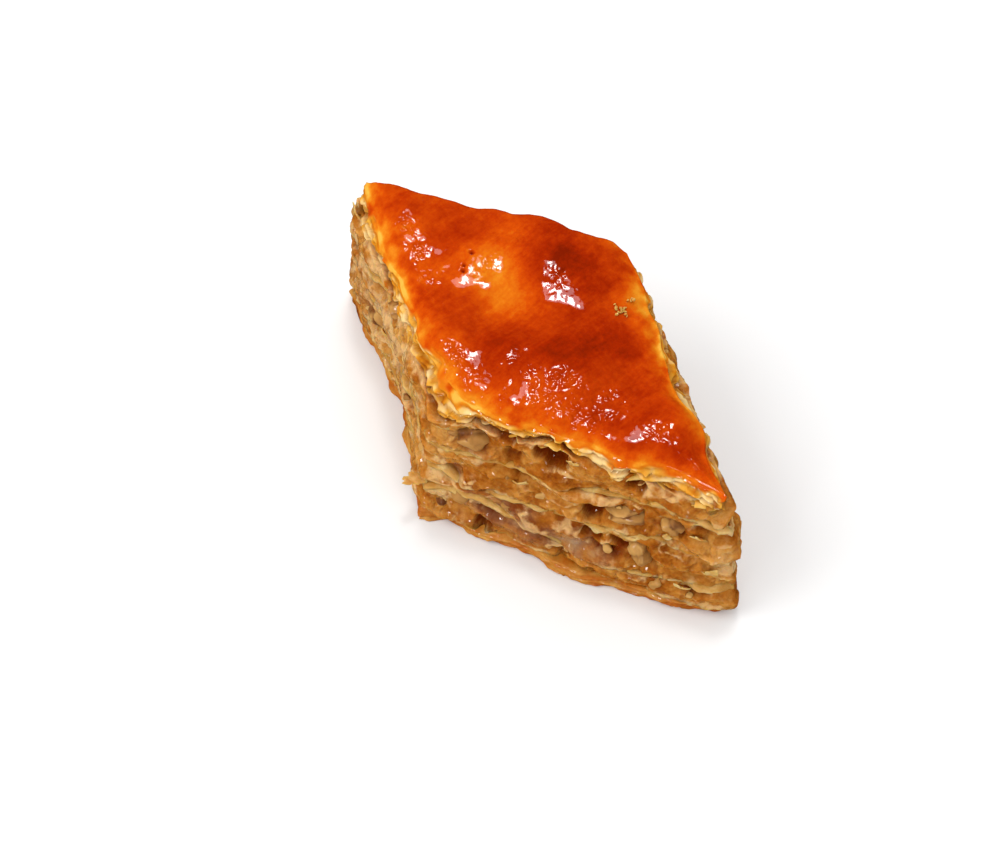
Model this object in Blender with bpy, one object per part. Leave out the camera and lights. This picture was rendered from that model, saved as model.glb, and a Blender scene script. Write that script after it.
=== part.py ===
"""A diamond-cut baklava piece: a glazed top crust, chopped-walnut fillings between thin dough sheets, larger
walnut pieces that show in the cut sides, and a browned base.

Metres, +Z up. The long diagonal lies along X, and the origin is the middle of the piece's footprint, on the
base. The plan is a diamond with the corners left, near, right and far. A place in it is (u, v): u runs from
the back left side (0) to the front side (1), and v from the front left side (0) to the back right side (1).
"""

import math

import bmesh
import bpy
from mathutils import Vector, noise

MM = 0.001

# The cut piece
LENGTH = 114 * MM  # left corner to right corner, at the base
WIDTH = 64 * MM  # near corner to far corner, at the base
RIM_HEIGHT = 38 * MM  # base to the crust's edge
FLARE = 5 * MM  # how far each base corner stands out past the crust's
NEAR_SHIFT = -3 * MM  # the near corner's place along X
FAR_SHIFT = -1 * MM  # the far corner's place along X
SHARP_SHIFT = -2 * MM  # the two sharp corners' place along Y
CORNER_BLUNT = 2.2 * MM  # how far the knife's drag pulls a sharp corner in
CORNER_REACH = 3 * MM  # how much of the corner that takes in

# The surfaces between the layers: the base's upper face, the three sheets' middles, and the crust's underside
SURFACE_HEIGHTS = {
    "base": 3.0 * MM,
    "low": 7.8 * MM,
    "middle": 17.2 * MM,
    "high": 26.2 * MM,
    "crust": 34.2 * MM,
}
SHEET_THICKNESS = 1.3 * MM
LAYER_GAP = 0.42 * MM  # clear space between two layers

# The mesh
CELLS = 12  # grid cells along each side of the diamond
SIDE_ROWS = {"filling": 2, "sheet": 1, "base": 1, "crust": 2}

# How far each kind of layer stands out past the plain cut, how rough its cut edge is, and its rounding
EDGE_STAND = {"filling": -0.9 * MM, "sheet": 0.5 * MM, "base": 0.4 * MM, "crust": 0.0}
EDGE_ROUGH = {"filling": 1.8 * MM, "sheet": 2.1 * MM, "base": 2.2 * MM, "crust": 1.9 * MM}
EDGE_ROUND = {"filling": 0.6 * MM, "sheet": 0.25 * MM, "base": 0.25 * MM, "crust": 0.25 * MM}
EDGE_WAVELENGTH = 9 * MM

# Waves of each surface between layers: (height, wavelength, heading in degrees, phase in degrees)
WAVES = {
    "base": [(0.5 * MM, 40 * MM, 20, 40)],
    "low": [(0.8 * MM, 42 * MM, 65, 200), (0.6 * MM, 37 * MM, -30, 20)],
    "middle": [(1.0 * MM, 40 * MM, -15, 120), (0.6 * MM, 36 * MM, 75, 300)],
    "high": [(1.0 * MM, 38 * MM, 40, 10), (0.6 * MM, 44 * MM, -60, 140)],
    "crust": [(0.8 * MM, 40 * MM, 10, 250), (0.5 * MM, 36 * MM, 80, 60)],
}
# Where a surface swells over larger nuts, or sags between them: (u, v, height, radius). The low sheet arches
# over a pocket of nuts at the near corner.
SWELLS = {
    "low": [(1.0, 0.15, 5.4 * MM, 10.5 * MM), (1.0, 0.58, -1.4 * MM, 9 * MM), (1.0, 0.96, 1.6 * MM, 8 * MM)],
    "middle": [(1.0, 0.12, -1.4 * MM, 10 * MM), (1.0, 0.8, 2.4 * MM, 10 * MM), (0.0, 0.5, 1.6 * MM, 10 * MM)],
    "high": [(1.0, 0.80, 4.4 * MM, 10 * MM), (1.0, 0.53, -1.2 * MM, 7 * MM), (0.45, 0.0, 1.6 * MM, 9 * MM)],
}

# Blisters and hollows of the baked crust: (u, v, height, radius)
CRUST_BULGES = [
    (0.26, 0.74, 4.0 * MM, 13 * MM),
    (0.20, 0.22, 2.4 * MM, 11 * MM),
    (0.64, 0.72, 4.2 * MM, 12 * MM),
    (0.62, 0.34, 2.6 * MM, 11 * MM),
    (0.74, 0.93, 2.0 * MM, 8 * MM),
    (0.36, 0.42, -1.6 * MM, 9 * MM),
    (0.04, 0.50, -0.8 * MM, 8 * MM),
]
RIM_DROOP = 1.3 * MM  # how far the crust's edge turns down
RIM_REACH = 4.0 * MM  # over how wide a border

# Hollows in the cut sides, under the crust and under the sheets: layer -> (side, along, half width, depth)
HOLLOWS = {
    "walnut_filling_top": [("front", 0.42, 4.5 * MM, 3.6 * MM), ("back_left", 0.62, 4.5 * MM, 3.0 * MM)],
    "walnut_filling_upper": [("front", 0.53, 3.0 * MM, 3.0 * MM), ("back_right", 0.35, 4.0 * MM, 3.0 * MM)],
    "walnut_filling_lower": [("front", 0.60, 4.5 * MM, 4.2 * MM), ("back_left", 0.25, 4.0 * MM, 3.2 * MM)],
    "walnut_filling_base": [("front", 0.22, 3.5 * MM, 2.4 * MM), ("front_left", 0.70, 3.5 * MM, 2.4 * MM)],
}

# Walnut pieces: (layer, side, place along the side, length, depth, tilt in degrees)
WALNUTS = [
    ("walnut_filling_top", "front", 0.14, 6.2 * MM, 5.0 * MM, 12),
    ("walnut_filling_upper", "front", 0.66, 9.2 * MM, 6.5 * MM, -6),
    ("walnut_filling_upper", "front", 0.81, 6.0 * MM, 6.0 * MM, 16),
    ("walnut_filling_lower", "front", 0.715, 4.4 * MM, 5.0 * MM, -15),
    ("walnut_filling_top", "front_left", 0.52, 6.0 * MM, 5.0 * MM, -8),
    ("walnut_filling_lower", "front_left", 0.30, 6.6 * MM, 5.2 * MM, 10),
    ("walnut_filling_upper", "back_left", 0.45, 8.6 * MM, 6.0 * MM, 8),
    ("walnut_filling_lower", "back_left", 0.76, 6.4 * MM, 5.6 * MM, -14),
    ("walnut_filling_top", "back_right", 0.58, 7.0 * MM, 5.4 * MM, 6),
    ("walnut_filling_lower", "back_right", 0.40, 8.2 * MM, 6.0 * MM, -10),
]
WALNUT_HEIGHT = 0.72  # a piece's height, as a share of its filling's thickness there
WALNUT_STAND = 0.3 * MM  # how far a piece stands out past the plain cut
WALNUT_RECESS = 1.9 * MM  # how far the filling round it lies inside the plain cut
WALNUT_CLEARING = 0.7  # half the width of that recess, as a share of the piece's length
WALNUT_LUMPS = 0.3  # lumps, as a share of its radius
WALNUT_GAP = 0.35 * MM  # clear space round a piece in its pocket

# Finishes: base colour in linear values, roughness, metallic
FINISHES = {
    "glazed_crust": ((0.62, 0.10, 0.008), 0.22, 0.0),
    "dough_sheet": ((0.62, 0.42, 0.16), 0.40, 0.0),
    "walnut_filling": ((0.38, 0.22, 0.09), 0.50, 0.0),
    "walnut": ((0.48, 0.28, 0.11), 0.45, 0.0),
    "browned_base": ((0.50, 0.21, 0.05), 0.35, 0.0),
}

# The diamond's corners, in the order that corner_point uses
CORNERS = {
    "left": Vector((-LENGTH / 2, SHARP_SHIFT)),
    "near": Vector((NEAR_SHIFT, -WIDTH / 2)),
    "far": Vector((FAR_SHIFT, WIDTH / 2)),
    "right": Vector((LENGTH / 2, SHARP_SHIFT)),
}
# Each cut side: its first and last corner. A place along it runs from 0 at the first to 1 at the last.
SIDES = {
    "front": ("near", "right"),
    "back_left": ("left", "far"),
    "front_left": ("left", "near"),
    "back_right": ("far", "right"),
}


def clear_scene():
    """Removes whatever the file held."""
    for obj in list(bpy.data.objects):
        bpy.data.objects.remove(obj)


def new_collection(name):
    """A collection of that name in the scene."""
    made = bpy.data.collections.new(name)
    bpy.context.scene.collection.children.link(made)
    return made


def new_material(name):
    """A Principled material from FINISHES."""
    colour, roughness, metallic = FINISHES[name]
    made = bpy.data.materials.new(name)
    made.use_nodes = True
    surface = made.node_tree.nodes["Principled BSDF"]
    surface.inputs["Base Color"].default_value = (*colour, 1)
    surface.inputs["Roughness"].default_value = roughness
    surface.inputs["Metallic"].default_value = metallic
    return made


def corner_point(name, lift):
    """A corner of the plan at a share of the height: 0 on the base, 1 at the crust's edge."""
    corner = CORNERS[name]
    return corner - corner.normalized() * FLARE * lift


def plain_point(u, v, lift):
    """The place (u, v) in the plain diamond."""
    left, near, far, right = (corner_point(name, lift) for name in CORNERS)
    back = left.lerp(far, v)
    front = near.lerp(right, v)
    return back.lerp(front, u)


def outward(side):
    """The unit vector out of a side, in plan."""
    first, last = (CORNERS[name] for name in SIDES[side])
    along = (last - first).normalized()
    across = Vector((along.y, -along.x))
    return across if across.dot(first + last) > 0 else -across


def along_side(side, u, v):
    """How near (u, v) is to a side, from 1 on it to 0 at the middle, and how far along the side it is."""
    across, along = (u, v) if side in ("front", "back_left") else (v, u)
    nearness = 2 * across - 1 if side in ("front", "back_right") else 1 - 2 * across
    return max(nearness, 0.0), along


def place_on(side, along):
    """The place (u, v) at a distance along a side."""
    across = 1 if side in ("front", "back_right") else 0
    return (across, along) if side in ("front", "back_left") else (along, across)


def side_length(side):
    """The side's length at the base."""
    first, last = (CORNERS[name] for name in SIDES[side])
    return (last - first).length


def edge_offset(kind, layer, side, along, lift):
    """How far a layer's cut edge stands out past the plain side, at a place along it."""
    run = along * side_length(side) / EDGE_WAVELENGTH
    seed = sum(map(ord, layer + side)) / 7
    rough = noise.noise(Vector((run, seed, 2 * lift * RIM_HEIGHT / EDGE_WAVELENGTH)))
    offset = EDGE_STAND[kind] + EDGE_ROUGH[kind] * rough
    for where, middle, half_width, depth in HOLLOWS.get(layer, []):
        if where == side:
            distance = (along - middle) * side_length(side) / half_width
            offset -= depth * math.exp(-(distance**2))
    for filling, where, middle, length, _, _ in WALNUTS:
        if (filling, where) == (layer, side):
            distance = (along - middle) * side_length(side) / (WALNUT_CLEARING * length)
            offset += (-WALNUT_RECESS - offset) * math.exp(-(distance**4))
    return offset


def plan_point(kind, layer, u, v, lift):
    """The place (u, v) in one layer. Its cut edges are moved in and out, by moves that fade at the middle."""
    point = plain_point(u, v, lift)
    for side in SIDES:
        nearness, along = along_side(side, u, v)
        point += outward(side) * edge_offset(kind, layer, side, along, lift) * nearness
    for name in ("left", "right"):
        corner = corner_point(name, lift)
        nearness = math.exp(-(((plain_point(u, v, lift) - corner).length / CORNER_REACH) ** 2))
        point -= corner.normalized() * CORNER_BLUNT * nearness
    return point


def bump(point, u, v, height, radius):
    """The height at a point of one round blister whose middle is at (u, v)."""
    distance = (point - plain_point(u, v, 1)).length
    return height * math.exp(-((distance / radius) ** 2))


def waves(name, point):
    """The height at a point of the waves of one surface."""
    total = 0.0
    for height, wavelength, heading, phase in WAVES[name]:
        direction = Vector((math.cos(math.radians(heading)), math.sin(math.radians(heading))))
        total += height * math.sin(2 * math.pi * point.dot(direction) / wavelength + math.radians(phase))
    return total


def crust_top(point, u, v):
    """The height of the crust's glazed upper face: blisters, hollows and an edge that turns down."""
    height = RIM_HEIGHT + sum(bump(point, *bulge) for bulge in CRUST_BULGES)
    inset = min(u, v, 1 - u, 1 - v) * side_length("front") / RIM_REACH
    return height - RIM_DROOP * math.exp(-(inset**2))


def surface_height(name, point):
    """The middle height of the surface between two layers."""
    height = SURFACE_HEIGHTS[name] + waves(name, point)
    return height + sum(bump(point, *swell) for swell in SWELLS.get(name, []))


# The layers from the base up: name, kind, finish, the surface that each lies on and the one that it reaches
LAYERS = [
    ("base_crust", "base", "browned_base", None, "base"),
    ("walnut_filling_base", "filling", "walnut_filling", "base", "low"),
    ("dough_sheet_low", "sheet", "dough_sheet", "low", "low"),
    ("walnut_filling_lower", "filling", "walnut_filling", "low", "middle"),
    ("dough_sheet_middle", "sheet", "dough_sheet", "middle", "middle"),
    ("walnut_filling_upper", "filling", "walnut_filling", "middle", "high"),
    ("dough_sheet_high", "sheet", "dough_sheet", "high", "high"),
    ("walnut_filling_top", "filling", "walnut_filling", "high", "crust"),
    ("top_crust", "crust", "glazed_crust", "crust", None),
]


def layer_span(kind, low, high, point, u, v):
    """The lowest and highest point of a layer over a place in plan."""
    if kind == "base":
        return 0.0, surface_height(high, point)
    if kind == "crust":
        return surface_height(low, point), crust_top(point, u, v)
    if kind == "sheet":
        middle = surface_height(low, point)
        return middle - SHEET_THICKNESS / 2, middle + SHEET_THICKNESS / 2
    stand_low = 0 if low == "base" else SHEET_THICKNESS / 2
    stand_high = 0 if high == "crust" else SHEET_THICKNESS / 2
    return (
        surface_height(low, point) + stand_low + LAYER_GAP,
        surface_height(high, point) - stand_high - LAYER_GAP,
    )


def unit_block(rows):
    """A block from (0, 0, 0) to (1, 1, 1): CELLS cells along X and Y, and rows along Z."""
    block = bmesh.new()
    bmesh.ops.create_cube(block, size=1)
    bmesh.ops.translate(block, verts=block.verts, vec=(0.5, 0.5, 0.5))
    for axis, cells in enumerate((CELLS, CELLS, rows)):
        for step in range(1, cells):
            place = Vector((0, 0, 0))
            place[axis] = step / cells
            normal = Vector((0, 0, 0))
            normal[axis] = 1
            geometry = block.verts[:] + block.edges[:] + block.faces[:]
            bmesh.ops.bisect_plane(block, geom=geometry, plane_co=place, plane_no=normal)
    return block


def refine_top(block):
    """Halves each cell of the block's top face, for the crust's finer relief."""
    edges = [edge for edge in block.edges if all(vert.co.z > 0.999 for vert in edge.verts)]
    bmesh.ops.subdivide_edges(block, edges=edges, cuts=1, use_grid_fill=True)


def make_layer(name, kind, finish, low, high):
    """One layer: the unit block bent into the diamond, between the surface below it and the one above."""
    block = unit_block(SIDE_ROWS[kind])
    if kind == "crust":
        refine_top(block)
    for vert in block.verts:
        u, v, share = vert.co
        # A first guess of the height gives the plan, and the plan gives the height.
        guess = sum(layer_span(kind, low, high, plain_point(u, v, 0.5), u, v)) / 2 / RIM_HEIGHT
        point = plan_point(kind, name, u, v, guess)
        bottom, top = layer_span(kind, low, high, point, u, v)
        for side in SIDES:
            if along_side(side, u, v)[0] > 0.999:
                point += outward(side) * EDGE_ROUND[kind] * math.sin(math.pi * share)
        vert.co = (*point, bottom + (top - bottom) * share)
    bmesh.ops.recalc_face_normals(block, faces=block.faces)
    bmesh.ops.triangulate(block, faces=block.faces, quad_method="SHORT_EDGE")
    mesh = bpy.data.meshes.new(name)
    block.to_mesh(mesh)
    block.free()
    mesh.materials.append(bpy.data.materials[finish])
    mesh.shade_smooth()
    mesh.set_sharp_from_angle(angle=math.radians(40))
    return bpy.data.objects.new(name, mesh)


def make_walnut(name, size, seed):
    """A lumpy broken piece of walnut of that size, about its own middle."""
    lump = bmesh.new()
    bmesh.ops.create_icosphere(lump, subdivisions=2, radius=1)
    for vert in lump.verts:
        swell = noise.noise(vert.co * 1.3 + Vector((seed * 5.1, 0, 0)))
        vert.co *= 1 + WALNUT_LUMPS * swell
        vert.co = Vector(co * length / 2 for co, length in zip(vert.co, size))
    mesh = bpy.data.meshes.new(name)
    lump.to_mesh(mesh)
    lump.free()
    mesh.materials.append(bpy.data.materials["walnut"])
    mesh.shade_smooth()
    mesh.set_sharp_from_angle(angle=math.radians(50))
    return bpy.data.objects.new(name, mesh)


def walnut_seat(layer, side, along, depth):
    """Where the middle of a piece of that depth goes in its filling, and how thick the filling is there."""
    low, high = next((low, high) for name, _, _, low, high in LAYERS if name == layer)
    u, v = place_on(side, along)
    bottom, top = layer_span("filling", low, high, plain_point(u, v, 0.5), u, v)
    cut = plain_point(u, v, (bottom + top) / 2 / RIM_HEIGHT)
    point = cut + outward(side) * (WALNUT_STAND - depth / 2)
    bottom, top = layer_span("filling", low, high, point, u, v)
    return Vector((*point, (bottom + top) / 2)), top - bottom


def heading_of(side):
    """The side's direction in plan, in radians from +X."""
    first, last = (CORNERS[name] for name in SIDES[side])
    return math.atan2((last - first).y, (last - first).x)


def cut_pocket(filling, piece, cutters):
    """Cuts a pocket for the piece, a little larger than it, out of the filling."""
    cutter = piece.copy()
    cutter.data = piece.data.copy()
    cutter.name = piece.name + "_pocket"
    size = Vector(piece.dimensions)
    for vert in cutter.data.vertices:
        vert.co = Vector(co * (1 + 2 * WALNUT_GAP / length) for co, length in zip(vert.co, size))
    cutter.hide_render = True
    cutter.display_type = "WIRE"
    cutters.objects.link(cutter)
    pocket = filling.modifiers.new(cutter.name, "BOOLEAN")
    pocket.operation = "DIFFERENCE"
    pocket.object = cutter
    pocket.solver = "EXACT"


def centre_on_base(anchor, pieces):
    """Moves the piece so that the origin is the middle of its footprint."""
    bpy.context.view_layer.update()
    corners = [piece.matrix_world @ Vector(corner) for piece in pieces for corner in piece.bound_box]
    middle = [(min(c[axis] for c in corners) + max(c[axis] for c in corners)) / 2 for axis in (0, 1)]
    anchor.location = (-middle[0], -middle[1], 0)


def main():
    clear_scene()
    parts = new_collection("baklava_piece")
    cutters = new_collection("cutters")
    for name in FINISHES:
        new_material(name)
    anchor = bpy.data.objects.new("baklava_anchor", None)
    parts.objects.link(anchor)

    layers = {}
    for name, kind, finish, low, high in LAYERS:
        layers[name] = make_layer(name, kind, finish, low, high)
        parts.objects.link(layers[name])
    pieces = list(layers.values())
    for number, (layer, side, along, length, depth, tilt) in enumerate(WALNUTS, 1):
        seat, thickness = walnut_seat(layer, side, along, depth)
        piece = make_walnut(f"walnut_piece_{number}", (length, depth, thickness * WALNUT_HEIGHT), number)
        piece.location = seat
        piece.rotation_euler = (0, math.radians(tilt), heading_of(side))
        parts.objects.link(piece)
        bpy.context.view_layer.update()
        cut_pocket(layers[layer], piece, cutters)
        pieces.append(piece)
    for obj in pieces + list(cutters.objects):
        obj.parent = anchor
    centre_on_base(anchor, pieces)


if __name__ == "__main__":
    main()
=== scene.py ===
"""Dresses a packed baklava piece: a blistered, glazed crust with thin leaves under its edge, torn dough
sheets, nut paste with chopped walnuts, larger walnut kernels, a browned bottom and loose flakes, on a pale
studio floor.

The shape functions work in millimetres, and a piece turns them into metres when its mesh is made. The plan
is a diamond with the corners left, near, right and far, and a place in it is (u, v): u runs from the back
left side (0) to the front side (1), and v from the front left side (0) to the back right side (1). A height
is also given as a lift: 0 on the base and 1 at the crust's edge.
"""

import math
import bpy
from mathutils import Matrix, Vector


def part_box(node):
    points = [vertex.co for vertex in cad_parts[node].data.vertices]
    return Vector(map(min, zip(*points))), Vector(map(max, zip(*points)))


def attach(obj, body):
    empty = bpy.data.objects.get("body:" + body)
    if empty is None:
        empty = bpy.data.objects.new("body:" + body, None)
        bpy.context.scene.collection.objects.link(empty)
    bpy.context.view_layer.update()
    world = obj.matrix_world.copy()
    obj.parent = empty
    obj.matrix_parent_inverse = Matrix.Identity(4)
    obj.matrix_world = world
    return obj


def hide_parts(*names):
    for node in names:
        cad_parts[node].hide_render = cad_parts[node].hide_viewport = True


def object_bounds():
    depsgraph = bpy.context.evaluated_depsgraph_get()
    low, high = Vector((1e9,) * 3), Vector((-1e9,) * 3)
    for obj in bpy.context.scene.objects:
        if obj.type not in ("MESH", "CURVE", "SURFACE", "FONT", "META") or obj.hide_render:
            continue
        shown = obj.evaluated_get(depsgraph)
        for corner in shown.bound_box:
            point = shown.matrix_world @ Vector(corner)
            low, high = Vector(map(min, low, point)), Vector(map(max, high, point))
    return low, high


bl_info = {
    "name": "Baklava Piece",
    "version": (1, 0, 0),
    "blender": (4, 5, 0),
    "location": "3D View > Sidebar > Baklava",
    "description": "Dresses a diamond-cut baklava piece with its crust, dough sheets, nut paste and walnuts",
    "category": "Add Mesh",
}

import bmesh
import bpy
import numpy as np
from bpy.props import FloatProperty, FloatVectorProperty, IntProperty, PointerProperty
from mathutils import Matrix, Vector
from mathutils.noise import noise as perlin

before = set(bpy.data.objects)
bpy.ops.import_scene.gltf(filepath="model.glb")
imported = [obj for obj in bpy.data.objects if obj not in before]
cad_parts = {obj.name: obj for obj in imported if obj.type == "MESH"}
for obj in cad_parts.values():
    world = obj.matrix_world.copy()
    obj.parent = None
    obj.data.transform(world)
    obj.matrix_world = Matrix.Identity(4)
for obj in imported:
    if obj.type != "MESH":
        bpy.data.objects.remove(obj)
CAD_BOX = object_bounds()

MM = 0.001

# The cut piece, as in the frame
RIM_HEIGHT = 38.0
FLARE = 5.0
CORNERS = {"left": (-57.0, -2.0), "near": (-3.0, -32.0), "far": (-1.0, 32.0), "right": (57.0, -2.0)}
SIDES = {
    "front": ("near", "right"),
    "back_left": ("left", "far"),
    "front_left": ("left", "near"),
    "back_right": ("far", "right"),
}
CORNER_BLUNT = {"crust": 0.8, "filling": 1.8, "sheet": 1.8, "base": 4.4}
CORNER_REACH = 3.0
CORNER_EASE = 0.035  # the share of a side over which its way out turns into the next side's
HALF_ACROSS = 0.42  # from a side to the middle of the diamond, against the side's length

# The surfaces between the layers, their waves (height, wavelength, heading, phase) and swells (u, v,
# height, radius)
SURFACE_HEIGHTS = {"base": 3.0, "low": 7.8, "middle": 17.2, "high": 26.2, "crust": 34.2}
WAVES = {
    "base": [(0.5, 40, 20, 40)],
    "low": [(0.8, 42, 65, 200), (0.6, 37, -30, 20)],
    "middle": [(1.0, 40, -15, 120), (0.6, 36, 75, 300)],
    "high": [(1.0, 38, 40, 10), (0.6, 44, -60, 140)],
    "crust": [(0.8, 40, 10, 250), (0.5, 36, 80, 60)],
}
SWELLS = {
    "low": [(1.0, 0.15, 5.4, 10.5), (1.0, 0.58, -1.4, 9), (1.0, 0.96, 1.6, 8)],
    "middle": [(1.0, 0.12, -1.4, 10), (1.0, 0.8, 2.4, 10), (0.0, 0.5, 1.6, 10)],
    "high": [(1.0, 0.80, 4.4, 10), (1.0, 0.53, -1.2, 7), (0.45, 0.0, 1.6, 9)],
}
CRUST_BULGES = [
    (0.0, 0.22, 1.2, 12), (0.0, 0.62, 1.6, 14), (0.20, 0.65, 3.1, 11), (0.14, 0.13, 1.8, 9),
    (0.23, 0.37, 1.2, 5), (0.66, 0.54, 3.3, 10), (0.71, 0.11, 2.6, 8), (0.66, 0.34, 1.4, 5),
    (0.755, 0.875, 2.2, 7), (0.96, 0.62, 0.6, 8), (0.96, 0.20, 0.5, 6), (0.40, 0.42, -1.2, 9),
    (0.04, 0.50, -0.8, 8),
]
RIM_DROOP, RIM_REACH = 1.3, 4.0
SHEET_THICKNESS = 1.3
# The height and the reach of the small folds that each surface lies in
FOLDS = {"base": (0.9, 6.0), "low": (0.9, 6.5), "middle": (1.3, 7.0), "high": (1.4, 7.5), "crust": (1.5, 7.0)}

# Each layer's kind and the surfaces that it lies between, and how its cut edge runs
LAYERS = {
    "base_crust": ("base", None, "base"),
    "walnut_filling_base": ("filling", "base", "low"),
    "dough_sheet_low": ("sheet", "low", "low"),
    "walnut_filling_lower": ("filling", "low", "middle"),
    "dough_sheet_middle": ("sheet", "middle", "middle"),
    "walnut_filling_upper": ("filling", "middle", "high"),
    "dough_sheet_high": ("sheet", "high", "high"),
    "walnut_filling_top": ("filling", "high", "crust"),
    "top_crust": ("crust", "crust", None),
}
FILLINGS = [name for name, (kind, _, _) in LAYERS.items() if kind == "filling"]
EDGE_STAND = {"filling": -0.9, "sheet": -0.2, "base": 0.4, "crust": -0.8}
EDGE_ROUGH = {"filling": 1.8, "sheet": 1.8, "base": 2.2, "crust": 1.9}
EDGE_WAVELENGTH = 9.0
# How far the foot of a cut side stands out past the frame's: (side, along, half width, amount)
FOOT = [("front", 0.82, 26.0, 3.2), ("front_left", 0.62, 23.0, -4.2), ("back_right", 0.97, 14.0, 3.0)]
CRUST_FOOT, CRUST_RISE = 0.93, 0.07  # the lift of the crust's cut edge at its foot, and how much it gains
LEAVES_APART = 7.0  # from one baked leaf to the next in the noise, so that each tears its own way
FADE_IN = 26  # how fast a cut side's unevenness fades towards the middle of the piece

# Walnut kernels, in the frame's order: (side, along, length, depth, tilt in degrees)
WALNUTS = [
    ("front", 0.14, 6.2, 5.0, 12), ("front", 0.66, 9.2, 6.5, -6), ("front", 0.81, 6.0, 6.0, 16),
    ("front", 0.715, 4.4, 5.0, -15), ("front_left", 0.52, 6.0, 5.0, -8), ("front_left", 0.30, 6.6, 5.2, 10),
    ("back_left", 0.45, 8.6, 6.0, 8), ("back_left", 0.76, 6.4, 5.6, -14), ("back_right", 0.58, 7.0, 5.4, 6),
    ("back_right", 0.40, 8.2, 6.0, -10),
]
# How deep, and how wide against its length, the paste lies back round a kernel
WALNUT_RECESS, WALNUT_CLEARING = 1.4, 0.66
# Where the random draws start
NOISE_SEED, PIT_SEED, KERNEL_SEED, BIT_SEED, FLAKE_SEED, CRUMB_SEED = 2204, 88, 700, 41, 900, 77


# ------------------------------------------------------------------ noise

SOURCE = np.random.default_rng(NOISE_SEED)
SHUFFLE = SOURCE.permutation(256)
SLOPES = SOURCE.normal(size=(256, 3))
SLOPES /= np.linalg.norm(SLOPES, axis=1)[:, None]
SPOTS = SOURCE.random((256, 3))


def shuffled(cell):
    """A number from 0 to 255 for each cell of a cubic grid."""
    first = SHUFFLE[cell[:, 0] & 255] + cell[:, 1]
    second = SHUFFLE[first & 255] + cell[:, 2]
    return SHUFFLE[second & 255]


def noise(points, size, seed=0):
    """Smooth noise from about -1 to 1, with features of that size."""
    place = points / size + 31.7 * seed
    cell = np.floor(place).astype(int)
    part = place - cell
    ease = part**3 * (part * (part * 6 - 15) + 10)
    total = np.zeros(len(points))
    for corner in np.ndindex(2, 2, 2):
        weight = np.prod(np.where(corner, ease, 1 - ease), axis=1)
        slope = SLOPES[shuffled(cell + corner)]
        total += weight * np.sum(slope * (part - corner), axis=1)
    return 1.6 * total


def crumple(points, size, octaves=3, seed=0):
    """Noise with finer and weaker noise on top."""
    return sum(noise(points, size / 2**k, seed + k) / 2**k for k in range(octaves))


def warped(points, size, amount, seed=0):
    """Points pushed about by noise, so that what is made from them is less regular."""
    return points + amount * np.column_stack([noise(points, size, seed + axis) for axis in range(3)])


def grains(points, size, seed=0):
    """Packed grains: how far inside its grain each point is, 0 on a joint, and a number for the grain."""
    place = points / size + 17.3 * seed
    cell = np.floor(place).astype(int)
    first = np.full(len(points), 9.0)
    second = first.copy()
    number = np.zeros(len(points), int)
    for step in np.ndindex(3, 3, 3):
        other = cell + np.array(step) - 1
        code = shuffled(other)
        distance = np.linalg.norm(place - other - SPOTS[code], axis=1)
        second = np.minimum(second, np.maximum(first, distance))
        number = np.where(distance < first, code, number)
        first = np.minimum(first, distance)
    return second - first, SPOTS[number, 0]


def ramp(value, low, high):
    """0 below low, 1 above high, and a smooth step between."""
    share = np.clip((value - low) / (high - low), 0, 1)
    return share * share * (3 - 2 * share)


# ------------------------------------------------------------------ the diamond


def unit(vectors):
    """Each vector at length 1."""
    return vectors / np.linalg.norm(vectors, axis=-1, keepdims=True)


def corner_at(name, lift):
    """A corner of the plan at some lifts."""
    corner = np.array(CORNERS[name])
    return corner - np.multiply.outer(lift, FLARE * unit(corner))


def plain_point(u, v, lift):
    """The places (u, v) in the plain diamond."""
    u, v = np.asarray(u)[..., None], np.asarray(v)[..., None]
    left, near, far, right = (corner_at(name, lift) for name in CORNERS)
    return (left * (1 - v) + far * v) * (1 - u) + (near * (1 - v) + right * v) * u


def side_vector(side):
    """From the side's first corner to its last."""
    first, last = (np.array(CORNERS[name]) for name in SIDES[side])
    return last - first


def outward(side):
    """The unit vector out of a side, in plan."""
    along = unit(side_vector(side))
    across = np.array((along[1], -along[0]))
    return across if across @ np.array(CORNERS[SIDES[side][0]]) > 0 else -across


def side_length(side):
    """The length of a side, in millimetres."""
    return float(np.linalg.norm(side_vector(side)))


def along_side(side, u, v):
    """How near each place is to a side, from 1 on it to 0 at the middle, and how far along the side it is."""
    across, along = (u, v) if side in ("front", "back_left") else (v, u)
    nearness = 2 * across - 1 if side in ("front", "back_right") else 1 - 2 * across
    return np.maximum(nearness, 0), along


def near_side(side, u, v):
    """How far places are from a side, in millimetres across it, and how far along it they are."""
    nearness, along = along_side(side, u, v)
    return (1 - nearness) * side_length(side) * HALF_ACROSS, along


def place_on(side, along):
    """The place (u, v) at a share of the way along a side."""
    across = 1.0 if side in ("front", "back_right") else 0.0
    return (across, along) if side in ("front", "back_left") else (along, across)


def foot_offset(side, along, lift):
    """How far a cut side is moved out near its foot."""
    total = 0.0
    for each, middle, half_width, amount in FOOT:
        if each == side:
            distance = (along - middle) * side_length(side) / half_width
            total += amount * np.exp(-(distance**2)) * np.clip(1 - lift, 0, 1)
    return total


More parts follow.
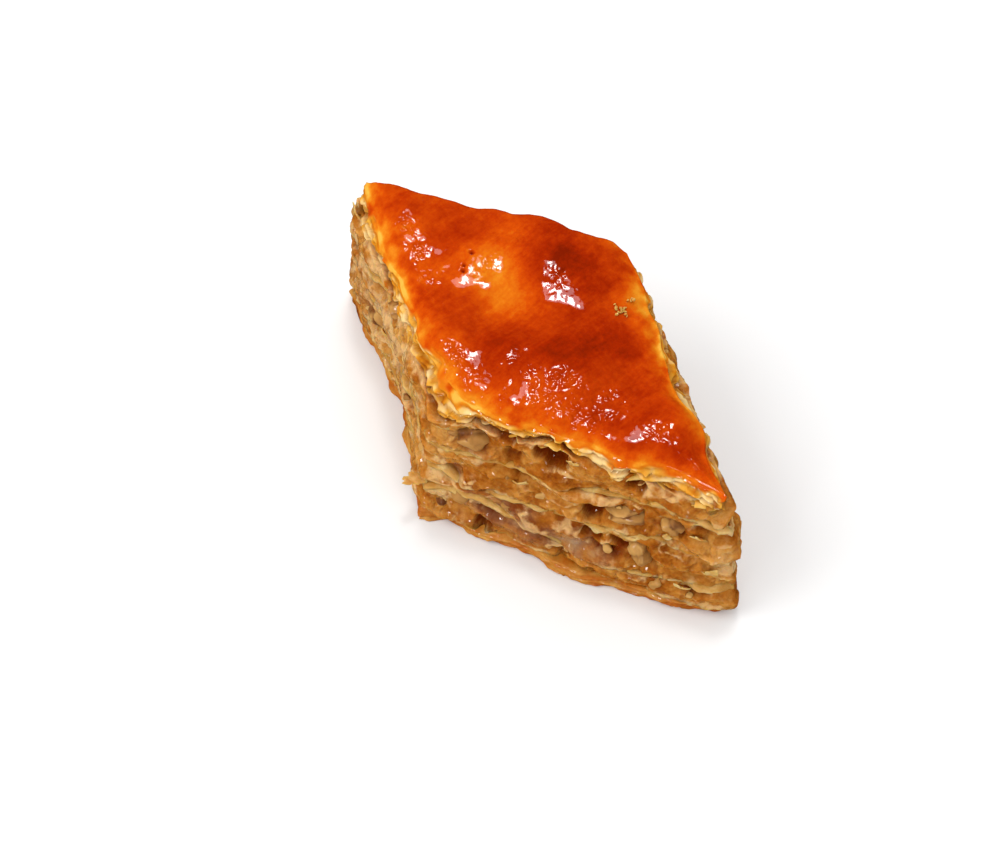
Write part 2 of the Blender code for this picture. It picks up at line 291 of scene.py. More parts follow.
def edge_offset(layer, side, along, lift):
    """How far a layer's cut edge stands out past the plain side. A sheet follows the fillings beside it."""
    kind = LAYERS[layer][0]
    run = along * side_length(side)
    rise = 2 * lift * RIM_HEIGHT / EDGE_WAVELENGTH
    number = list(LAYERS).index(layer)
    beside = [list(LAYERS)[number - 1], list(LAYERS)[number + 1]] if kind == "sheet" else [layer]
    rough = np.zeros(len(run))
    for each in beside:
        seed = sum(map(ord, each + side)) / 7
        rough += [perlin(Vector((a, seed, b))) for a, b in zip(run / EDGE_WAVELENGTH, rise)]
    return EDGE_STAND[kind] + EDGE_ROUGH[kind] * rough / len(beside) + foot_offset(side, along, lift)


def plan_points(layer, u, v, lift):
    """The places (u, v) in one layer, with its cut edges moved in and out by moves that fade inwards."""
    lift = np.broadcast_to(lift, u.shape)
    places = plain_point(u, v, lift)
    moved = places.copy()
    for side in SIDES:
        nearness, along = along_side(side, u, v)
        moved += outward(side) * (edge_offset(layer, side, along, lift) * nearness)[:, None]
    for name in ("left", "right"):
        corner = corner_at(name, lift)
        away = np.linalg.norm(places - corner, axis=1) / CORNER_REACH
        moved -= unit(corner) * (CORNER_BLUNT[LAYERS[layer][0]] * np.exp(-(away**2)))[:, None]
    return moved


def with_height(places, height):
    """Plan points and their heights as points in space."""
    return np.column_stack([places, np.broadcast_to(height, len(places))])


def bump(places, u, v, height, radius):
    """The height of one round blister whose middle is at (u, v)."""
    distance = np.linalg.norm(places - plain_point(u, v, 1.0), axis=1)
    return height * np.exp(-((distance / radius) ** 2))


def surface_height(name, places):
    """The middle height of the surface between two layers."""
    height = np.full(len(places), SURFACE_HEIGHTS[name])
    for size, wavelength, heading, phase in WAVES[name]:
        direction = np.array((math.cos(math.radians(heading)), math.sin(math.radians(heading))))
        height += size * np.sin(2 * math.pi * places @ direction / wavelength + math.radians(phase))
    return height + sum(bump(places, *swell) for swell in SWELLS.get(name, []))


def uneven_surface(name, places):
    """A surface between two layers with the smaller folds that the dough lies in."""
    flat = with_height(places, SURFACE_HEIGHTS[name])
    size, reach = FOLDS[name]
    folds = noise(flat, reach, 15) + 0.45 * noise(flat, 0.42 * reach, 16)
    return surface_height(name, places) + size * folds


def crust_top(places, u, v):
    """The height of the crust's upper face: blisters, hollows and an edge that turns down."""
    inset = np.min([2 * u + 0.06, v, 1 - u, 1 - v], axis=0) * side_length("front") / RIM_REACH
    height = RIM_HEIGHT + sum(bump(places, *bulge) for bulge in CRUST_BULGES)
    return height - RIM_DROOP * np.exp(-(inset**2))


def eased(numbers, reach):
    """Numbers round the rim, each smoothed with that many neighbours on either side."""
    kernel = np.hanning(2 * reach + 1)
    around = np.concatenate([numbers[-reach:], numbers, numbers[:reach]])
    return np.convolve(around, kernel / kernel.sum(), "valid")


class Rim:
    """Columns round the diamond's outline, evenly spaced from the near corner, to the right corner and on."""

    def __init__(self, per_side):
        step = np.arange(per_side) / per_side
        one, nil = np.ones(per_side), np.zeros(per_side)
        self.u = np.concatenate([one, 1 - step, nil, step])
        self.v = np.concatenate([step, one, 1 - step, nil])
        self.side = np.repeat(["front", "back_right", "back_left", "front_left"], per_side)
        self.along = np.where(np.isin(self.side, ["front", "back_left"]), self.v, self.u)
        self.length = np.array([side_length(side) for side in self.side])
        ways = np.array([outward(side) for side in self.side])
        self.reach = max(2, int(per_side * CORNER_EASE))
        self.out = unit(np.column_stack([eased(ways[:, axis], self.reach) for axis in (0, 1)]))
        self.per_side, self.count = per_side, 4 * per_side
        self.outline = with_height(plain_point(self.u, self.v, 0.5), 0.0)

    def at(self, inset):
        """The columns' (u, v), from 0 on the cut to 1 at the middle of the diamond."""
        return 0.5 + (self.u - 0.5) * (1 - inset), 0.5 + (self.v - 0.5) * (1 - inset)

    def spots(self, places):
        """The sum of smooth spots along the sides: (side, along, half width, amount)."""
        total = np.zeros(self.count)
        for side, middle, half_width, amount in places:
            distance = (self.along - middle) * self.length / half_width
            total += np.where(self.side == side, amount * np.exp(-(distance**2)), 0.0)
        return total


# ------------------------------------------------------------------ meshes


def hex_linear(code):
    """An sRGB hex colour as linear values."""
    srgb = [int(code[k : k + 2], 16) / 255 for k in (1, 3, 5)]
    return tuple(c / 12.92 if c <= 0.04045 else ((c + 0.055) / 1.055) ** 2.4 for c in srgb)


def belt_faces(rings, columns, joined=True):
    """Quads between closed rings of points and, where joined, from the last ring back to the first."""
    ring, column = np.meshgrid(np.arange(rings if joined else rings - 1), np.arange(columns), indexing="ij")
    beside = (column + 1) % columns
    here, above = ring * columns, (ring + 1) % rings * columns
    quads = np.stack([here + column, here + beside, above + beside, above + column], axis=-1)
    return quads.reshape(-1, 4).tolist()


def shell_faces(rings, columns, closed=True):
    """Quads between rings of points, with a fan onto a middle point below and, where it is closed, above."""
    low, high = rings * columns, rings * columns + 1
    last = (rings - 1) * columns
    around = np.arange(columns)
    after = (around + 1) % columns
    under = np.stack([np.full(columns, low), after, around], axis=1)
    over = np.stack([np.full(columns, high), last + around, last + after], axis=1)
    fans = under.tolist() + (over.tolist() if closed else [])
    return belt_faces(rings, columns, joined=False) + fans


def lid_faces(ring_start, inside_start, per_side):
    """Quads over the diamond, between a ring of points round it and a grid of points inside."""
    number = np.empty((per_side + 1, per_side + 1), int)
    run = ring_start + np.arange(per_side)
    number[-1, :-1] = run
    number[:0:-1, -1] = run + per_side
    number[0, :0:-1] = run + 2 * per_side
    number[:-1, 0] = run + 3 * per_side
    number[1:-1, 1:-1] = inside_start + np.arange((per_side - 1) ** 2).reshape(per_side - 1, -1)
    quads = np.stack([number[1:, :-1], number[1:, 1:], number[:-1, 1:], number[:-1, :-1]], axis=-1)
    return quads.reshape(-1, 4).tolist()


def closed_shell(rings):
    """The points and faces of a closed shape from rings of points, with a middle point at either end."""
    points = np.concatenate([*rings, rings[0].mean(0)[None], rings[-1].mean(0)[None]])
    return points, shell_faces(len(rings), len(rings[0]))


def merged(shapes):
    """Many small shapes, each with its points and faces, as the points and faces of one mesh."""
    starts = np.cumsum([0] + [len(points) for points, _ in shapes]).tolist()
    faces = [[index + start for index in face] for start, (_, each) in zip(starts, shapes) for face in each]
    return np.concatenate([points for points, _ in shapes]), faces


def new_object(name, data):
    """A new object with that data, in the scene."""
    made = bpy.data.objects.new(name, data)
    bpy.context.scene.collection.objects.link(made)
    return made


def add_piece(name, points, faces, material, values, slot, stands_for=()):
    """A smooth mesh piece, in metres, that rides on the root body and carries its painted values."""
    mesh = bpy.data.meshes.new(name)
    mesh.from_pydata((np.asarray(points) * MM).tolist(), [], faces)
    for key, numbers in values.items():
        layer = mesh.attributes.new(key, "FLOAT", "POINT")
        layer.data.foreach_set("value", np.asarray(numbers, np.float32))
    mesh.shade_smooth()
    mesh.materials.append(material)
    piece = new_object(name, mesh)
    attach(piece, "root")
    if stands_for:
        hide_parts(*stands_for)


def add_shell(name, rings, material, values, **links):
    """A closed piece from rings of points: from under its middle, out round its edge and back on top."""
    closed = {key: np.concatenate([*each, each[0][:1], each[-1][:1]]) for key, each in values.items()}
    add_piece(name, *closed_shell(rings), material, closed, **links)


def add_belt(name, rings, material, values, **links):
    """A closed band round the diamond, from rings of points that go once round its cross-section."""
    joined = {key: np.concatenate(numbers) for key, numbers in values.items()}
    faces = belt_faces(len(rings), len(rings[0]))
    add_piece(name, np.concatenate(rings), faces, material, joined, **links)


# ------------------------------------------------------------------ materials


def add_node(tree, kind, output, settings, links=None):
    """Adds a node with its settings and its links, and gives its output. A setting is a property, an input, a
    ramp's stops, or the size of a pattern's features in millimetres."""
    node = tree.nodes.new(kind)
    for key, value in settings.items():
        if key == "stops":
            while len(node.color_ramp.elements) < len(value):
                node.color_ramp.elements.new(1.0)
            for element, (place, code) in zip(node.color_ramp.elements, value):
                element.position = place
                element.color = (*hex_linear(code), 1)
        elif key == "Size":
            node.inputs["Scale"].default_value = 1 / (value * MM)
        elif isinstance(key, str) and hasattr(node, key):
            setattr(node, key, value)
        else:
            node.inputs[key].default_value = (*hex_linear(value), 1) if isinstance(value, str) else value
    for key, source in (links or {}).items():
        tree.links.new(source, node.inputs[key])
    return node.outputs[output]


# The inputs and the output of a colour mix
FACTOR, FIRST, SECOND, MIXED = 0, 6, 7, 2
COLOUR_MIX = {"data_type": "RGBA"}
BRUSHED = math.radians(12)  # the way that the egg wash was brushed on


def new_material(name, settings, painted=()):
    """A material with a Principled shader: a way to add nodes to it, a way to link the shader's inputs, its
    object coordinates and the values painted on the mesh."""
    made = bpy.data.materials.new(name)
    made.use_nodes = True
    tree = made.node_tree
    shader = tree.nodes["Principled BSDF"]
    for key, value in settings.items():
        shader.inputs[key].default_value = value

    def add(kind, output, settings, links=None):
        return add_node(tree, "ShaderNode" + kind, output, settings, links)

    def finish(**sockets):
        for key, source in sockets.items():
            tree.links.new(source, shader.inputs[key.replace("_", " ")])
        return made

    values = [add("Attribute", "Fac", {"attribute_name": key}) for key in painted]
    return add, finish, add("TexCoord", "Object", {}), *values


def glazed_crust_material(settings):
    """Yufka dough washed with egg yolk, baked and brushed with syrup. The yolk browns unevenly and in brush
    strokes, deepest on the blisters, and the syrup sets as a clear, wet-looking coat over its fine wrinkles.
    Where the knife cut it, the pale dough shows in thin leaves, with painted shade between them and under the
    crust."""
    add, finish, place, bake, cut, wrinkle, deep = new_material(
        "egg_glazed_yufka",
        {
            "IOR": 1.45,
            "Specular IOR Level": 0.0,
            "Coat Weight": 1.0,
            "Coat Roughness": settings.gloss,
            "Coat IOR": 1.5,
            "Subsurface Weight": 0.1,
            "Subsurface Radius": (1.0, 0.3, 0.1),
            "Subsurface Scale": 1.6 * MM,
        },
        ("bake", "cut", "wrinkle", "deep"),
    )
    clouds = add("TexNoise", "Fac", {"Size": 7, "Detail": 3.0, "Roughness": 0.5}, {"Vector": place})
    mottle = add("TexNoise", "Fac", {"Size": 1.1, "Detail": 3.0, "Roughness": 0.7}, {"Vector": place})
    drawn = {"Rotation": (0, 0, BRUSHED), "Scale": (1, 0.18, 1)}
    drawn = add("Mapping", 0, drawn, {"Vector": place})
    strokes = add("TexNoise", "Fac", {"Size": 1.6, "Detail": 3.0, "Roughness": 0.7}, {"Vector": drawn})
    browned = bake
    for amount, texture in ((0.45, clouds), (0.32, mottle), (0.3, strokes)):
        browned = add("Math", 0, {"operation": "MULTIPLY_ADD", 1: amount}, {0: texture, 2: browned})
    browned = add("Math", 0, {"operation": "SUBTRACT", 1: 0.48}, {0: browned})
    stops = [(0.0, "#e6ab42"), (0.16, "#dd8a20"), (0.34, "#d46c10"), (0.52, "#c84b06"), (0.68, "#b43604")]
    stops += [(0.84, "#9c2402"), (1.0, "#7c1a02")]
    yolk = add("ValToRGB", "Color", {"stops": stops}, {"Fac": browned})
    stops = [(0.1, "#a8580c"), (0.4, "#d4841a"), (0.65, "#e2a43e"), (0.95, "#efcd8c")]
    dough = add("ValToRGB", "Color", {"stops": stops}, {"Fac": browned})
    colour = add("Mix", MIXED, COLOUR_MIX, {FACTOR: cut, FIRST: yolk, SECOND: dough})
    # Painted shade: the dark brown mixed in where the value deep is high, between the cut leaves and under
    # the crust
    colour = add("Mix", MIXED, {**COLOUR_MIX, SECOND: "#8a3f08"}, {FACTOR: deep, FIRST: colour})
    rough = add("MapRange", 0, {"To Min": 0.22, "To Max": 0.42}, {"Value": mottle})
    ridges = {"noise_type": "RIDGED_MULTIFRACTAL", "Size": 1.5, "Detail": 2.0}
    ridges = add("TexNoise", "Fac", ridges, {"Vector": place})
    ridges = add("Math", 0, {"operation": "MULTIPLY"}, {0: ridges, 1: wrinkle})
    normal = add("Bump", "Normal", {"Distance": 0.12 * MM, "Strength": 0.5}, {"Height": mottle})
    film = add("Bump", "Normal", {"Distance": 0.2 * MM, "Strength": 0.6}, {"Height": ridges})
    return finish(Base_Color=colour, Roughness=rough, Normal=normal, Coat_Normal=film)


def soaked_dough_material(name, stops, glow):
    """Thin rolled dough, baked and soaked in syrup: creamy to amber at random, paler at its lip past the cut,
    with painted shade where it lies back in the cut, and a wet gloss. Its ramp says how far the oven coloured
    it."""
    add, finish, place, pale, deep = new_material(
        name,
        {
            "IOR": 1.45,
            "Specular IOR Level": 0.25,
            "Coat Weight": 0.9,
            "Coat Roughness": 0.09,
            "Subsurface Weight": glow,
            "Subsurface Radius": (1.0, 0.5, 0.18),
            "Subsurface Scale": 1.8 * MM,
        },
        ("pale", "deep"),
    )
    clouds = add("TexNoise", "Fac", {"Size": 4, "Detail": 4.0, "Roughness": 0.6}, {"Vector": place})
    fibre = add("TexNoise", "Fac", {"Size": 0.7, "Detail": 3.0, "Roughness": 0.7}, {"Vector": place})
    tone = pale
    for amount, texture in ((0.9, clouds), (0.4, fibre)):
        tone = add("Math", 0, {"operation": "MULTIPLY_ADD", 1: amount}, {0: texture, 2: tone})
    tone = add("Math", 0, {"operation": "SUBTRACT", 1: 0.65}, {0: tone})
    colour = add("ValToRGB", "Color", {"stops": stops}, {"Fac": tone})
    # Painted shade: the dark brown mixed in where the sheet lies back in the cut
    colour = add("Mix", MIXED, {**COLOUR_MIX, SECOND: "#84400a"}, {FACTOR: deep, FIRST: colour})
    rough = add("MapRange", 0, {"To Min": 0.3, "To Max": 0.55}, {"Value": fibre})
    normal = add("Bump", "Normal", {"Distance": 0.25 * MM, "Strength": 0.6}, {"Height": fibre})
    wet = add("Bump", "Normal", {"Distance": 0.6 * MM, "Strength": 0.8}, {"Height": fibre})
    return finish(Base_Color=colour, Roughness=rough, Normal=normal, Coat_Normal=wet)


def nut_paste_material():
    """Walnuts ground with sugar and soaked in syrup, then cut: tan crumbs in a cream-coloured smear, with
    painted shade, a dark amber, in the pits and crevices, greyish sugar where it clots, and small facets of
    syrup that sparkle."""
    add, finish, place, tone, cream, deep, sugar = new_material(
        "walnut_sugar_paste",
        {
            "IOR": 1.45,
            "Specular IOR Level": 0.05,
            "Coat Weight": 1.0,
            "Coat Roughness": 0.07,
            "Subsurface Weight": 0.6,
            "Subsurface Radius": (1.0, 0.55, 0.2),
            "Subsurface Scale": 2.2 * MM,
        },
        ("tone", "cream", "deep", "sugar"),
    )
    crumbs = add("TexNoise", "Fac", {"Size": 1.3, "Detail": 4.0, "Roughness": 0.65}, {"Vector": place})
    grit = add("TexVoronoi", "Distance", {"Size": 0.8}, {"Vector": place})
    shade = add("Math", 0, {"operation": "MULTIPLY_ADD", 1: 0.76}, {0: crumbs, 2: tone})
    shade = add("Math", 0, {"operation": "SUBTRACT", 1: 0.39}, {0: shade})
    stops = [(0.05, "#7e3a02"), (0.3, "#a45c12"), (0.5, "#b8762a"), (0.75, "#c98f45"), (1.0, "#daab6e")]
    colour = add("ValToRGB", "Color", {"stops": stops}, {"Fac": shade})
    creamy = add("Math", 0, {"operation": "MULTIPLY_ADD", 1: 0.7}, {0: crumbs, 2: cream})
    narrow = {"interpolation_type": "SMOOTHSTEP", "From Min": 0.7, "From Max": 1.15}
    creamy = add("MapRange", 0, narrow, {"Value": creamy})
    # The dark amber of deep is painted shade in the pits and crevices, and where the paste lies back inside
    # the piece
    for share, code in ((creamy, "#d4a76c"), (sugar, "#a28262"), (deep, "#742a00")):
        colour = add("Mix", MIXED, {**COLOUR_MIX, SECOND: code}, {FACTOR: share, FIRST: colour})
    rough = add("MapRange", 0, {"To Min": 0.35, "To Max": 0.6}, {"Value": crumbs})
    normal = add("Bump", "Normal", {"Distance": 0.4 * MM, "Strength": 0.8}, {"Height": crumbs})
    fine = {"Distance": 0.2 * MM, "Strength": 0.6}
    normal = add("Bump", "Normal", fine, {"Height": grit, "Normal": normal})
    facets = add("TexVoronoi", "Color", {"Size": 0.7}, {"Vector": place})
    facets = add("VectorMath", 0, {"operation": "SUBTRACT", 1: (0.5, 0.5, 0.5)}, {0: facets})
    facets = add("VectorMath", 0, {"operation": "SCALE", "Scale": 1.4}, {0: facets})
    smooth = add("NewGeometry", "Normal", {})
    wet = add("VectorMath", 0, {"operation": "ADD"}, {0: smooth, 1: facets})
    wet = add("VectorMath", 0, {"operation": "NORMALIZE"}, {0: wet})
    return finish(Base_Color=colour, Roughness=rough, Normal=normal, Coat_Normal=wet)


def walnut_material():
    """Walnut kernel: waxy tan flesh where it broke or was cut, and thin, veined brown skin outside, both
    wetted by syrup."""
    add, finish, place, tone, skin = new_material(
        "walnut_kernel",
        {
            "IOR": 1.47,
            "Specular IOR Level": 0.3,
            "Coat Weight": 0.6,
            "Coat Roughness": 0.12,
            "Subsurface Weight": 0.15,
            "Subsurface Radius": (1.0, 0.6, 0.3),
            "Subsurface Scale": 1.2 * MM,
        },
        ("tone", "skin"),
    )
    veins = add("TexNoise", "Fac", {"Size": 1.8, "Detail": 4.0, "Roughness": 0.6}, {"Vector": place})
    grain = add("TexNoise", "Fac", {"Size": 0.5, "Detail": 2.0}, {"Vector": place})
    shade = add("Math", 0, {"operation": "MULTIPLY_ADD", 1: 0.5}, {0: veins, 2: tone})
    shade = add("Math", 0, {"operation": "SUBTRACT", 1: 0.25}, {0: shade})
    stops = [(0.0, "#94602a"), (0.35, "#b07c3c"), (0.65, "#c6944e"), (1.0, "#dab16c")]
    flesh = add("ValToRGB", "Color", {"stops": stops}, {"Fac": shade})
    brown = add("ValToRGB", "Color", {"stops": [(0.3, "#5a2a0c"), (0.7, "#8c5220")]}, {"Fac": veins})
    colour = add("Mix", MIXED, COLOUR_MIX, {FACTOR: skin, FIRST: flesh, SECOND: brown})
    rough = add("MapRange", 0, {"To Min": 0.35, "To Max": 0.55}, {"Value": veins})
    normal = add("Bump", "Normal", {"Distance": 0.25 * MM, "Strength": 0.5}, {"Height": veins})
    fine = {"Distance": 0.08 * MM, "Strength": 0.5}
    normal = add("Bump", "Normal", fine, {"Height": grain, "Normal": normal})
    return finish(Base_Color=colour, Roughness=rough, Normal=normal)


def browned_dough_material():
    """The bottom dough, fried in butter against the pan and soaked in syrup: orange-brown and glossy."""
    add, finish, place, bake = new_material(
        "browned_yufka",
        {
            "IOR": 1.45,
            "Specular IOR Level": 0.25,
            "Coat Weight": 0.6,
            "Coat Roughness": 0.1,
            "Subsurface Weight": 0.2,
            "Subsurface Radius": (1.0, 0.45, 0.15),
            "Subsurface Scale": 1.5 * MM,
        },
        ("bake",),
    )
    clouds = add("TexNoise", "Fac", {"Size": 3.5, "Detail": 4.0, "Roughness": 0.65}, {"Vector": place})
    flecks = add("TexNoise", "Fac", {"Size": 0.8, "Detail": 3.0, "Roughness": 0.7}, {"Vector": place})
    shade = bake
    for amount, texture in ((0.9, clouds), (0.4, flecks)):
        shade = add("Math", 0, {"operation": "MULTIPLY_ADD", 1: amount}, {0: texture, 2: shade})
    shade = add("Math", 0, {"operation": "SUBTRACT", 1: 0.65}, {0: shade})
    stops = [(0.0, "#cf9c4c"), (0.3, "#c07c2c"), (0.55, "#b5620f"), (0.8, "#974308"), (1.0, "#6c2804")]
    colour = add("ValToRGB", "Color", {"stops": stops}, {"Fac": shade})
    rough = add("MapRange", 0, {"To Min": 0.25, "To Max": 0.5}, {"Value": clouds})
    normal = add("Bump", "Normal", {"Distance": 0.25 * MM, "Strength": 0.6}, {"Height": flecks})
    return finish(Base_Color=colour, Roughness=rough, Normal=normal)


def matt_floor_material(settings):
    """Matt white laminate, with a faint unevenness in its gloss."""
    colour = (*settings.floor_colour, 1)
    add, finish, place = new_material("matt_laminate", {"Base Color": colour, "Specular IOR Level": 0.2})
    mist = add("TexNoise", "Fac", {"Size": 60, "Detail": 2.0}, {"Vector": place})
    rough = add("MapRange", 0, {"To Min": 0.6, "To Max": 0.7}, {"Value": mist})
    return finish(Roughness=rough)


# ------------------------------------------------------------------ glazed crust

# Where the yolk browned more or less: (u, v, amount, radius)
BROWNING = [
    (0.26, 0.74, 0.18, 13), (0.12, 0.26, 0.14, 14), (0.52, 0.22, 0.08, 12), (0.80, 0.22, 0.10, 9),
    (0.62, 0.68, 0.20, 13), (0.60, 0.32, 0.10, 11), (0.80, 0.90, 0.08, 10), (0.36, 0.40, -0.26, 8),
    (0.20, 0.44, -0.12, 6), (0.08, 0.54, -0.08, 3), (0.22, 0.60, 0.14, 7), (0.40, 0.74, 0.06, 8),
    (0.08, 0.74, 0.06, 8), (0.27, 0.36, -0.14, 5), (0.42, 0.50, -0.16, 11), (0.92, 0.30, -0.10, 8),
]
# Where the syrup set in fine wrinkles: (u, v, radius)
WRINKLES = [
    (0.20, 0.12, 2.2), (0.30, 0.13, 2.6), (0.44, 0.14, 2.4), (0.27, 0.38, 2.2), (0.13, 0.54, 2.0),
    (0.27, 0.64, 2.5), (0.79, 0.14, 3.8), (0.91, 0.17, 2.6), (0.74, 0.37, 3.8), (0.74, 0.52, 4.2),
    (0.85, 0.43, 3.2), (0.81, 0.59, 3.8), (0.76, 0.69, 3.4), (0.81, 0.84, 3.2), (0.90, 0.91, 3.2),
    (0.90, 0.54, 3.0), (0.91, 0.28, 2.2),
]
PINHOLES = [(0.235, 0.355, 0.42), (0.325, 0.30, 0.36), (0.30, 0.31, 0.28)]  # u, v, radius
CRUST_INSETS = (0.6, 0.32, 0.16, 0.08, 0.035)
CRUST_ROWS = 24
# How far the glaze was torn back from each cut
TORN_IN = {"front": 1.5, "front_left": 1.3, "back_left": -1.2, "back_right": 0.5}
# How much less the yolk browned near the cut, at places along the sides: (side, along, half width, amount)
PALE_EDGES = [
    ("front_left", 0.4, 44, 0.46), ("back_right", 0.2, 22, 0.5), ("back_right", 0.55, 12, 0.25),
    ("front", 0.06, 5, 0.15), ("front", 0.5, 40, 0.28),
]
LEAF_PITCH = 1.05  # between the leaves in the crust's cut edge
# How far the crust's torn underside hangs at places along the sides: (side, along, half width, amount)
CRUST_HANGS = [
    ("front", 0.10, 8.0, -0.4), ("front", 0.31, 2.2, 0.5), ("front", 0.42, 4.0, -2.2),
    ("front", 0.25, 2.5, -1.0), ("front", 0.60, 3.6, 2.0), ("front", 0.69, 2.2, -1.6),
    ("front", 0.80, 4.5, 1.6), ("front_left", 0.10, 5.0, 2.0),
]


def patches(places, spots):
    """1 in the middle of a round spot (u, v, radius), falling to 0 outside all of them."""
    return np.clip(sum(bump(places, u, v, 1.0, radius) for u, v, radius in spots), 0, 1)


def crust_relief(places, settings):
    """The baked face's lumps and wrinkles over its blisters, and how wrinkled it is."""
    flat = with_height(places, 0.0)
    wrinkled = patches(places, WRINKLES) * ramp(noise(flat, 3.5, 3), -0.6, 0.1)
    lumps = 0.32 * noise(flat, 7.5, 1) + 0.18 * noise(flat, 3.4, 2)
    inside, _ = grains(warped(flat, 1.5, 0.5, 22), 1.5, 4)
    fine = 0.8 * ramp(inside, 0.0, 0.5) - 0.9 * np.abs(noise(flat, 1.7, 5)) - 0.4
    relief = lumps + settings.wrinkle * (0.06 + wrinkled) * fine
    for hole_u, hole_v, radius in PINHOLES:
        relief -= bump(places, hole_u, hole_v, 1.1, radius) - bump(places, hole_u, hole_v, 0.12, 2.2 * radius)
    return relief, wrinkled


def torn_back(u, v):
    """How far the glaze's edge was dragged back from the cut sides, as moves in plan."""
    moves = np.zeros((len(u), 2))
    for side, amount in TORN_IN.items():
        distance, along = near_side(side, u, v)
        foot = with_height(plain_point(*place_on(side, along), 1.0), 0.0)
        uneven = np.clip(1 + 0.35 * noise(foot, 5, 18) + 0.1 * noise(foot, 1.8, 19), 0.1, 2)
        moves -= outward(side) * (amount * uneven * np.exp(-distance / 3.0))[:, None]
    return moves


def face_bake(places, u, v, settings):
    """How browned the glazed face is, paler near the cuts, with painted shade that darkens each pinhole."""
    flat = with_height(places, 0.0)
    distances = {side: near_side(side, u, v) for side in SIDES}
    pale = 0.06 * np.exp(-np.min([distance for distance, _ in distances.values()], axis=0) / 3)
    for side, middle, half_width, amount in PALE_EDGES:
        distance, along = distances[side]
        run = (along - middle) * side_length(side) / half_width
        pale += amount * np.exp(-(run**2) - distance / 4.0)
    pale *= np.clip(1 + 0.9 * noise(flat, 7, 24) + 0.7 * noise(flat, 2, 25), 0, 2)
    bake = settings.bake + sum(bump(places, *spot) for spot in BROWNING)
    # Painted shade: darker round each pinhole
    bake += sum(bump(places, *hole[:2], 0.4, 1.2 * hole[2]) for hole in PINHOLES)
    return bake + 0.14 * noise(flat, 12, 13) + 0.05 * noise(flat, 4, 14) - pale


def crust_edge(rim, settings):
    """Rings of the crust from its underside and up its cut edge, and the values painted on it."""
    rings = []
    values = {"bake": [], "cut": [], "wrinkle": [], "deep": []}

    def add_ring(points, **painted):
        rings.append(points)
        for key, numbers in painted.items():
            values[key].append(np.broadcast_to(numbers, rim.count))

    hang = rim.spots(CRUST_HANGS)
    for inset in CRUST_INSETS:
        places = plan_points("top_crust", *rim.at(inset), CRUST_FOOT)
        points = with_height(places, uneven_surface("crust", places) - hang * math.exp(-inset * 20))
        # The crust's underside gets full painted shade
        add_ring(points, bake=0.3, cut=1.0, wrinkle=0.0, deep=1.0)
    u, v = rim.at(0.0)
    moves = torn_back(u, v)
    glazed = face_bake(plan_points("top_crust", u, v, 1.0), u, v, settings)
    for share in np.linspace(0, 1, CRUST_ROWS):
        places = plan_points("top_crust", u, v, CRUST_FOOT + CRUST_RISE * share)
        low, high = uneven_surface("crust", places) - hang, crust_top(places, u, v)
        points = with_height(places, low + (high - low) * share)
        level = points[:, 2] / LEAF_PITCH + 0.9 * noise(points, 9, 7) + 0.3 * noise(points, 3, 8)
        leaf = np.abs(np.sin(math.pi * level)) ** 0.6
        torn = ramp(noise(points * (1, 1, 1.8), 4.0, 9), -0.4, 0.4)
        leaves = np.column_stack([points[:, :2], LEAVES_APART * np.floor(level)])
        out = 0.45 * leaf + 1.3 * grains(leaves, 3.6, 10)[1] - 0.7 + 0.3 * noise(leaves, 1.5, 12)
        out = (out - 1.2 * torn * (1 - share) ** 0.5) * (1 - ramp(share, 0.45, 0.95))
        points[:, :2] += rim.out * out[:, None] + moves * share**2.5
        lip = ramp(share + 0.3 * noise(points, 3, 11), 0.65, 0.9)
        dough = 0.62 + 0.5 * noise(leaves, 4, 17) + 0.3 * noise(leaves, 1.5, 20)
        # Painted shade between the cut leaves and in the torn hollows near the foot
        deep = np.clip((1 - leaf) * 0.7 * (1 - lip) + 0.5 * torn * (1 - share) ** 2, 0, 1)
        add_ring(points, bake=lip * glazed + (1 - lip) * dough, cut=1 - lip, wrinkle=0.3, deep=deep)
    return rings, values


def crust_face(per_side, settings):
    """A grid of points over the glazed face, inside its outline, and the values painted on it."""
    step = np.arange(1, per_side) / per_side
    u, v = (grid.ravel() for grid in np.meshgrid(step, step, indexing="ij"))
    places = plan_points("top_crust", u, v, 1.0)
    relief, wrinkled = crust_relief(places, settings)
    near = np.min([near_side(side, u, v)[0] for side in SIDES], axis=0)
    points = with_height(places + torn_back(u, v), crust_top(places, u, v) + relief * ramp(near, 0, 1.2))
    bake = face_bake(places, u, v, settings)
    nil = np.zeros(len(u))
    return points, {"bake": bake, "cut": nil, "wrinkle": wrinkled, "deep": nil}


def crust_mesh(rim, settings):
    """The crust's points, faces and painted values."""
    rings, painted = crust_edge(rim, settings)
    inner, face_values = crust_face(rim.per_side, settings)
    count = len(rings) * rim.count
    faces = shell_faces(len(rings), rim.count, closed=False)
    faces += lid_faces(count - rim.count, count + 1, rim.per_side)
    points = np.concatenate([*rings, rings[0].mean(0)[None], inner])
    values = {key: np.concatenate([*each, each[0][:1], face_values[key]]) for key, each in painted.items()}
    return points, faces, values


# ------------------------------------------------------------------ dough sheets and leaves

SHARP_CORNER = [("front", 0.98, 4, 1.5), ("back_right", 0.97, 4, 1.5)]
# A sheet's lip: how far it stands out past the cut, and through how many degrees it turns down, along the
# sides. Each is a plain amount, how much that varies, and its spots: (side, along, half width, amount).
SHEET_LIPS = {
    "dough_sheet_high": (
        (-0.1, 0.5, [("front", 0.36, 4, 0.6), ("front", 0.98, 3, 1.4), ("back_right", 0.98, 4, 2.4)]),
        (60, 30, [("front", 0.58, 6, 20)]),
    ),
    "dough_sheet_middle": (
        (-0.1, 0.5, [("front", 0.3, 4, 0.6), ("front", 0.575, 1.8, 2.6), *SHARP_CORNER]),
        (60, 30, [("front", 0.57, 5, 30)]),
    ),
    "dough_sheet_low": ((-0.1, 0.5, [("front", 0.14, 6, 0.9), ("front", 0.92, 5, 0.8)]), (60, 30, [])),
}
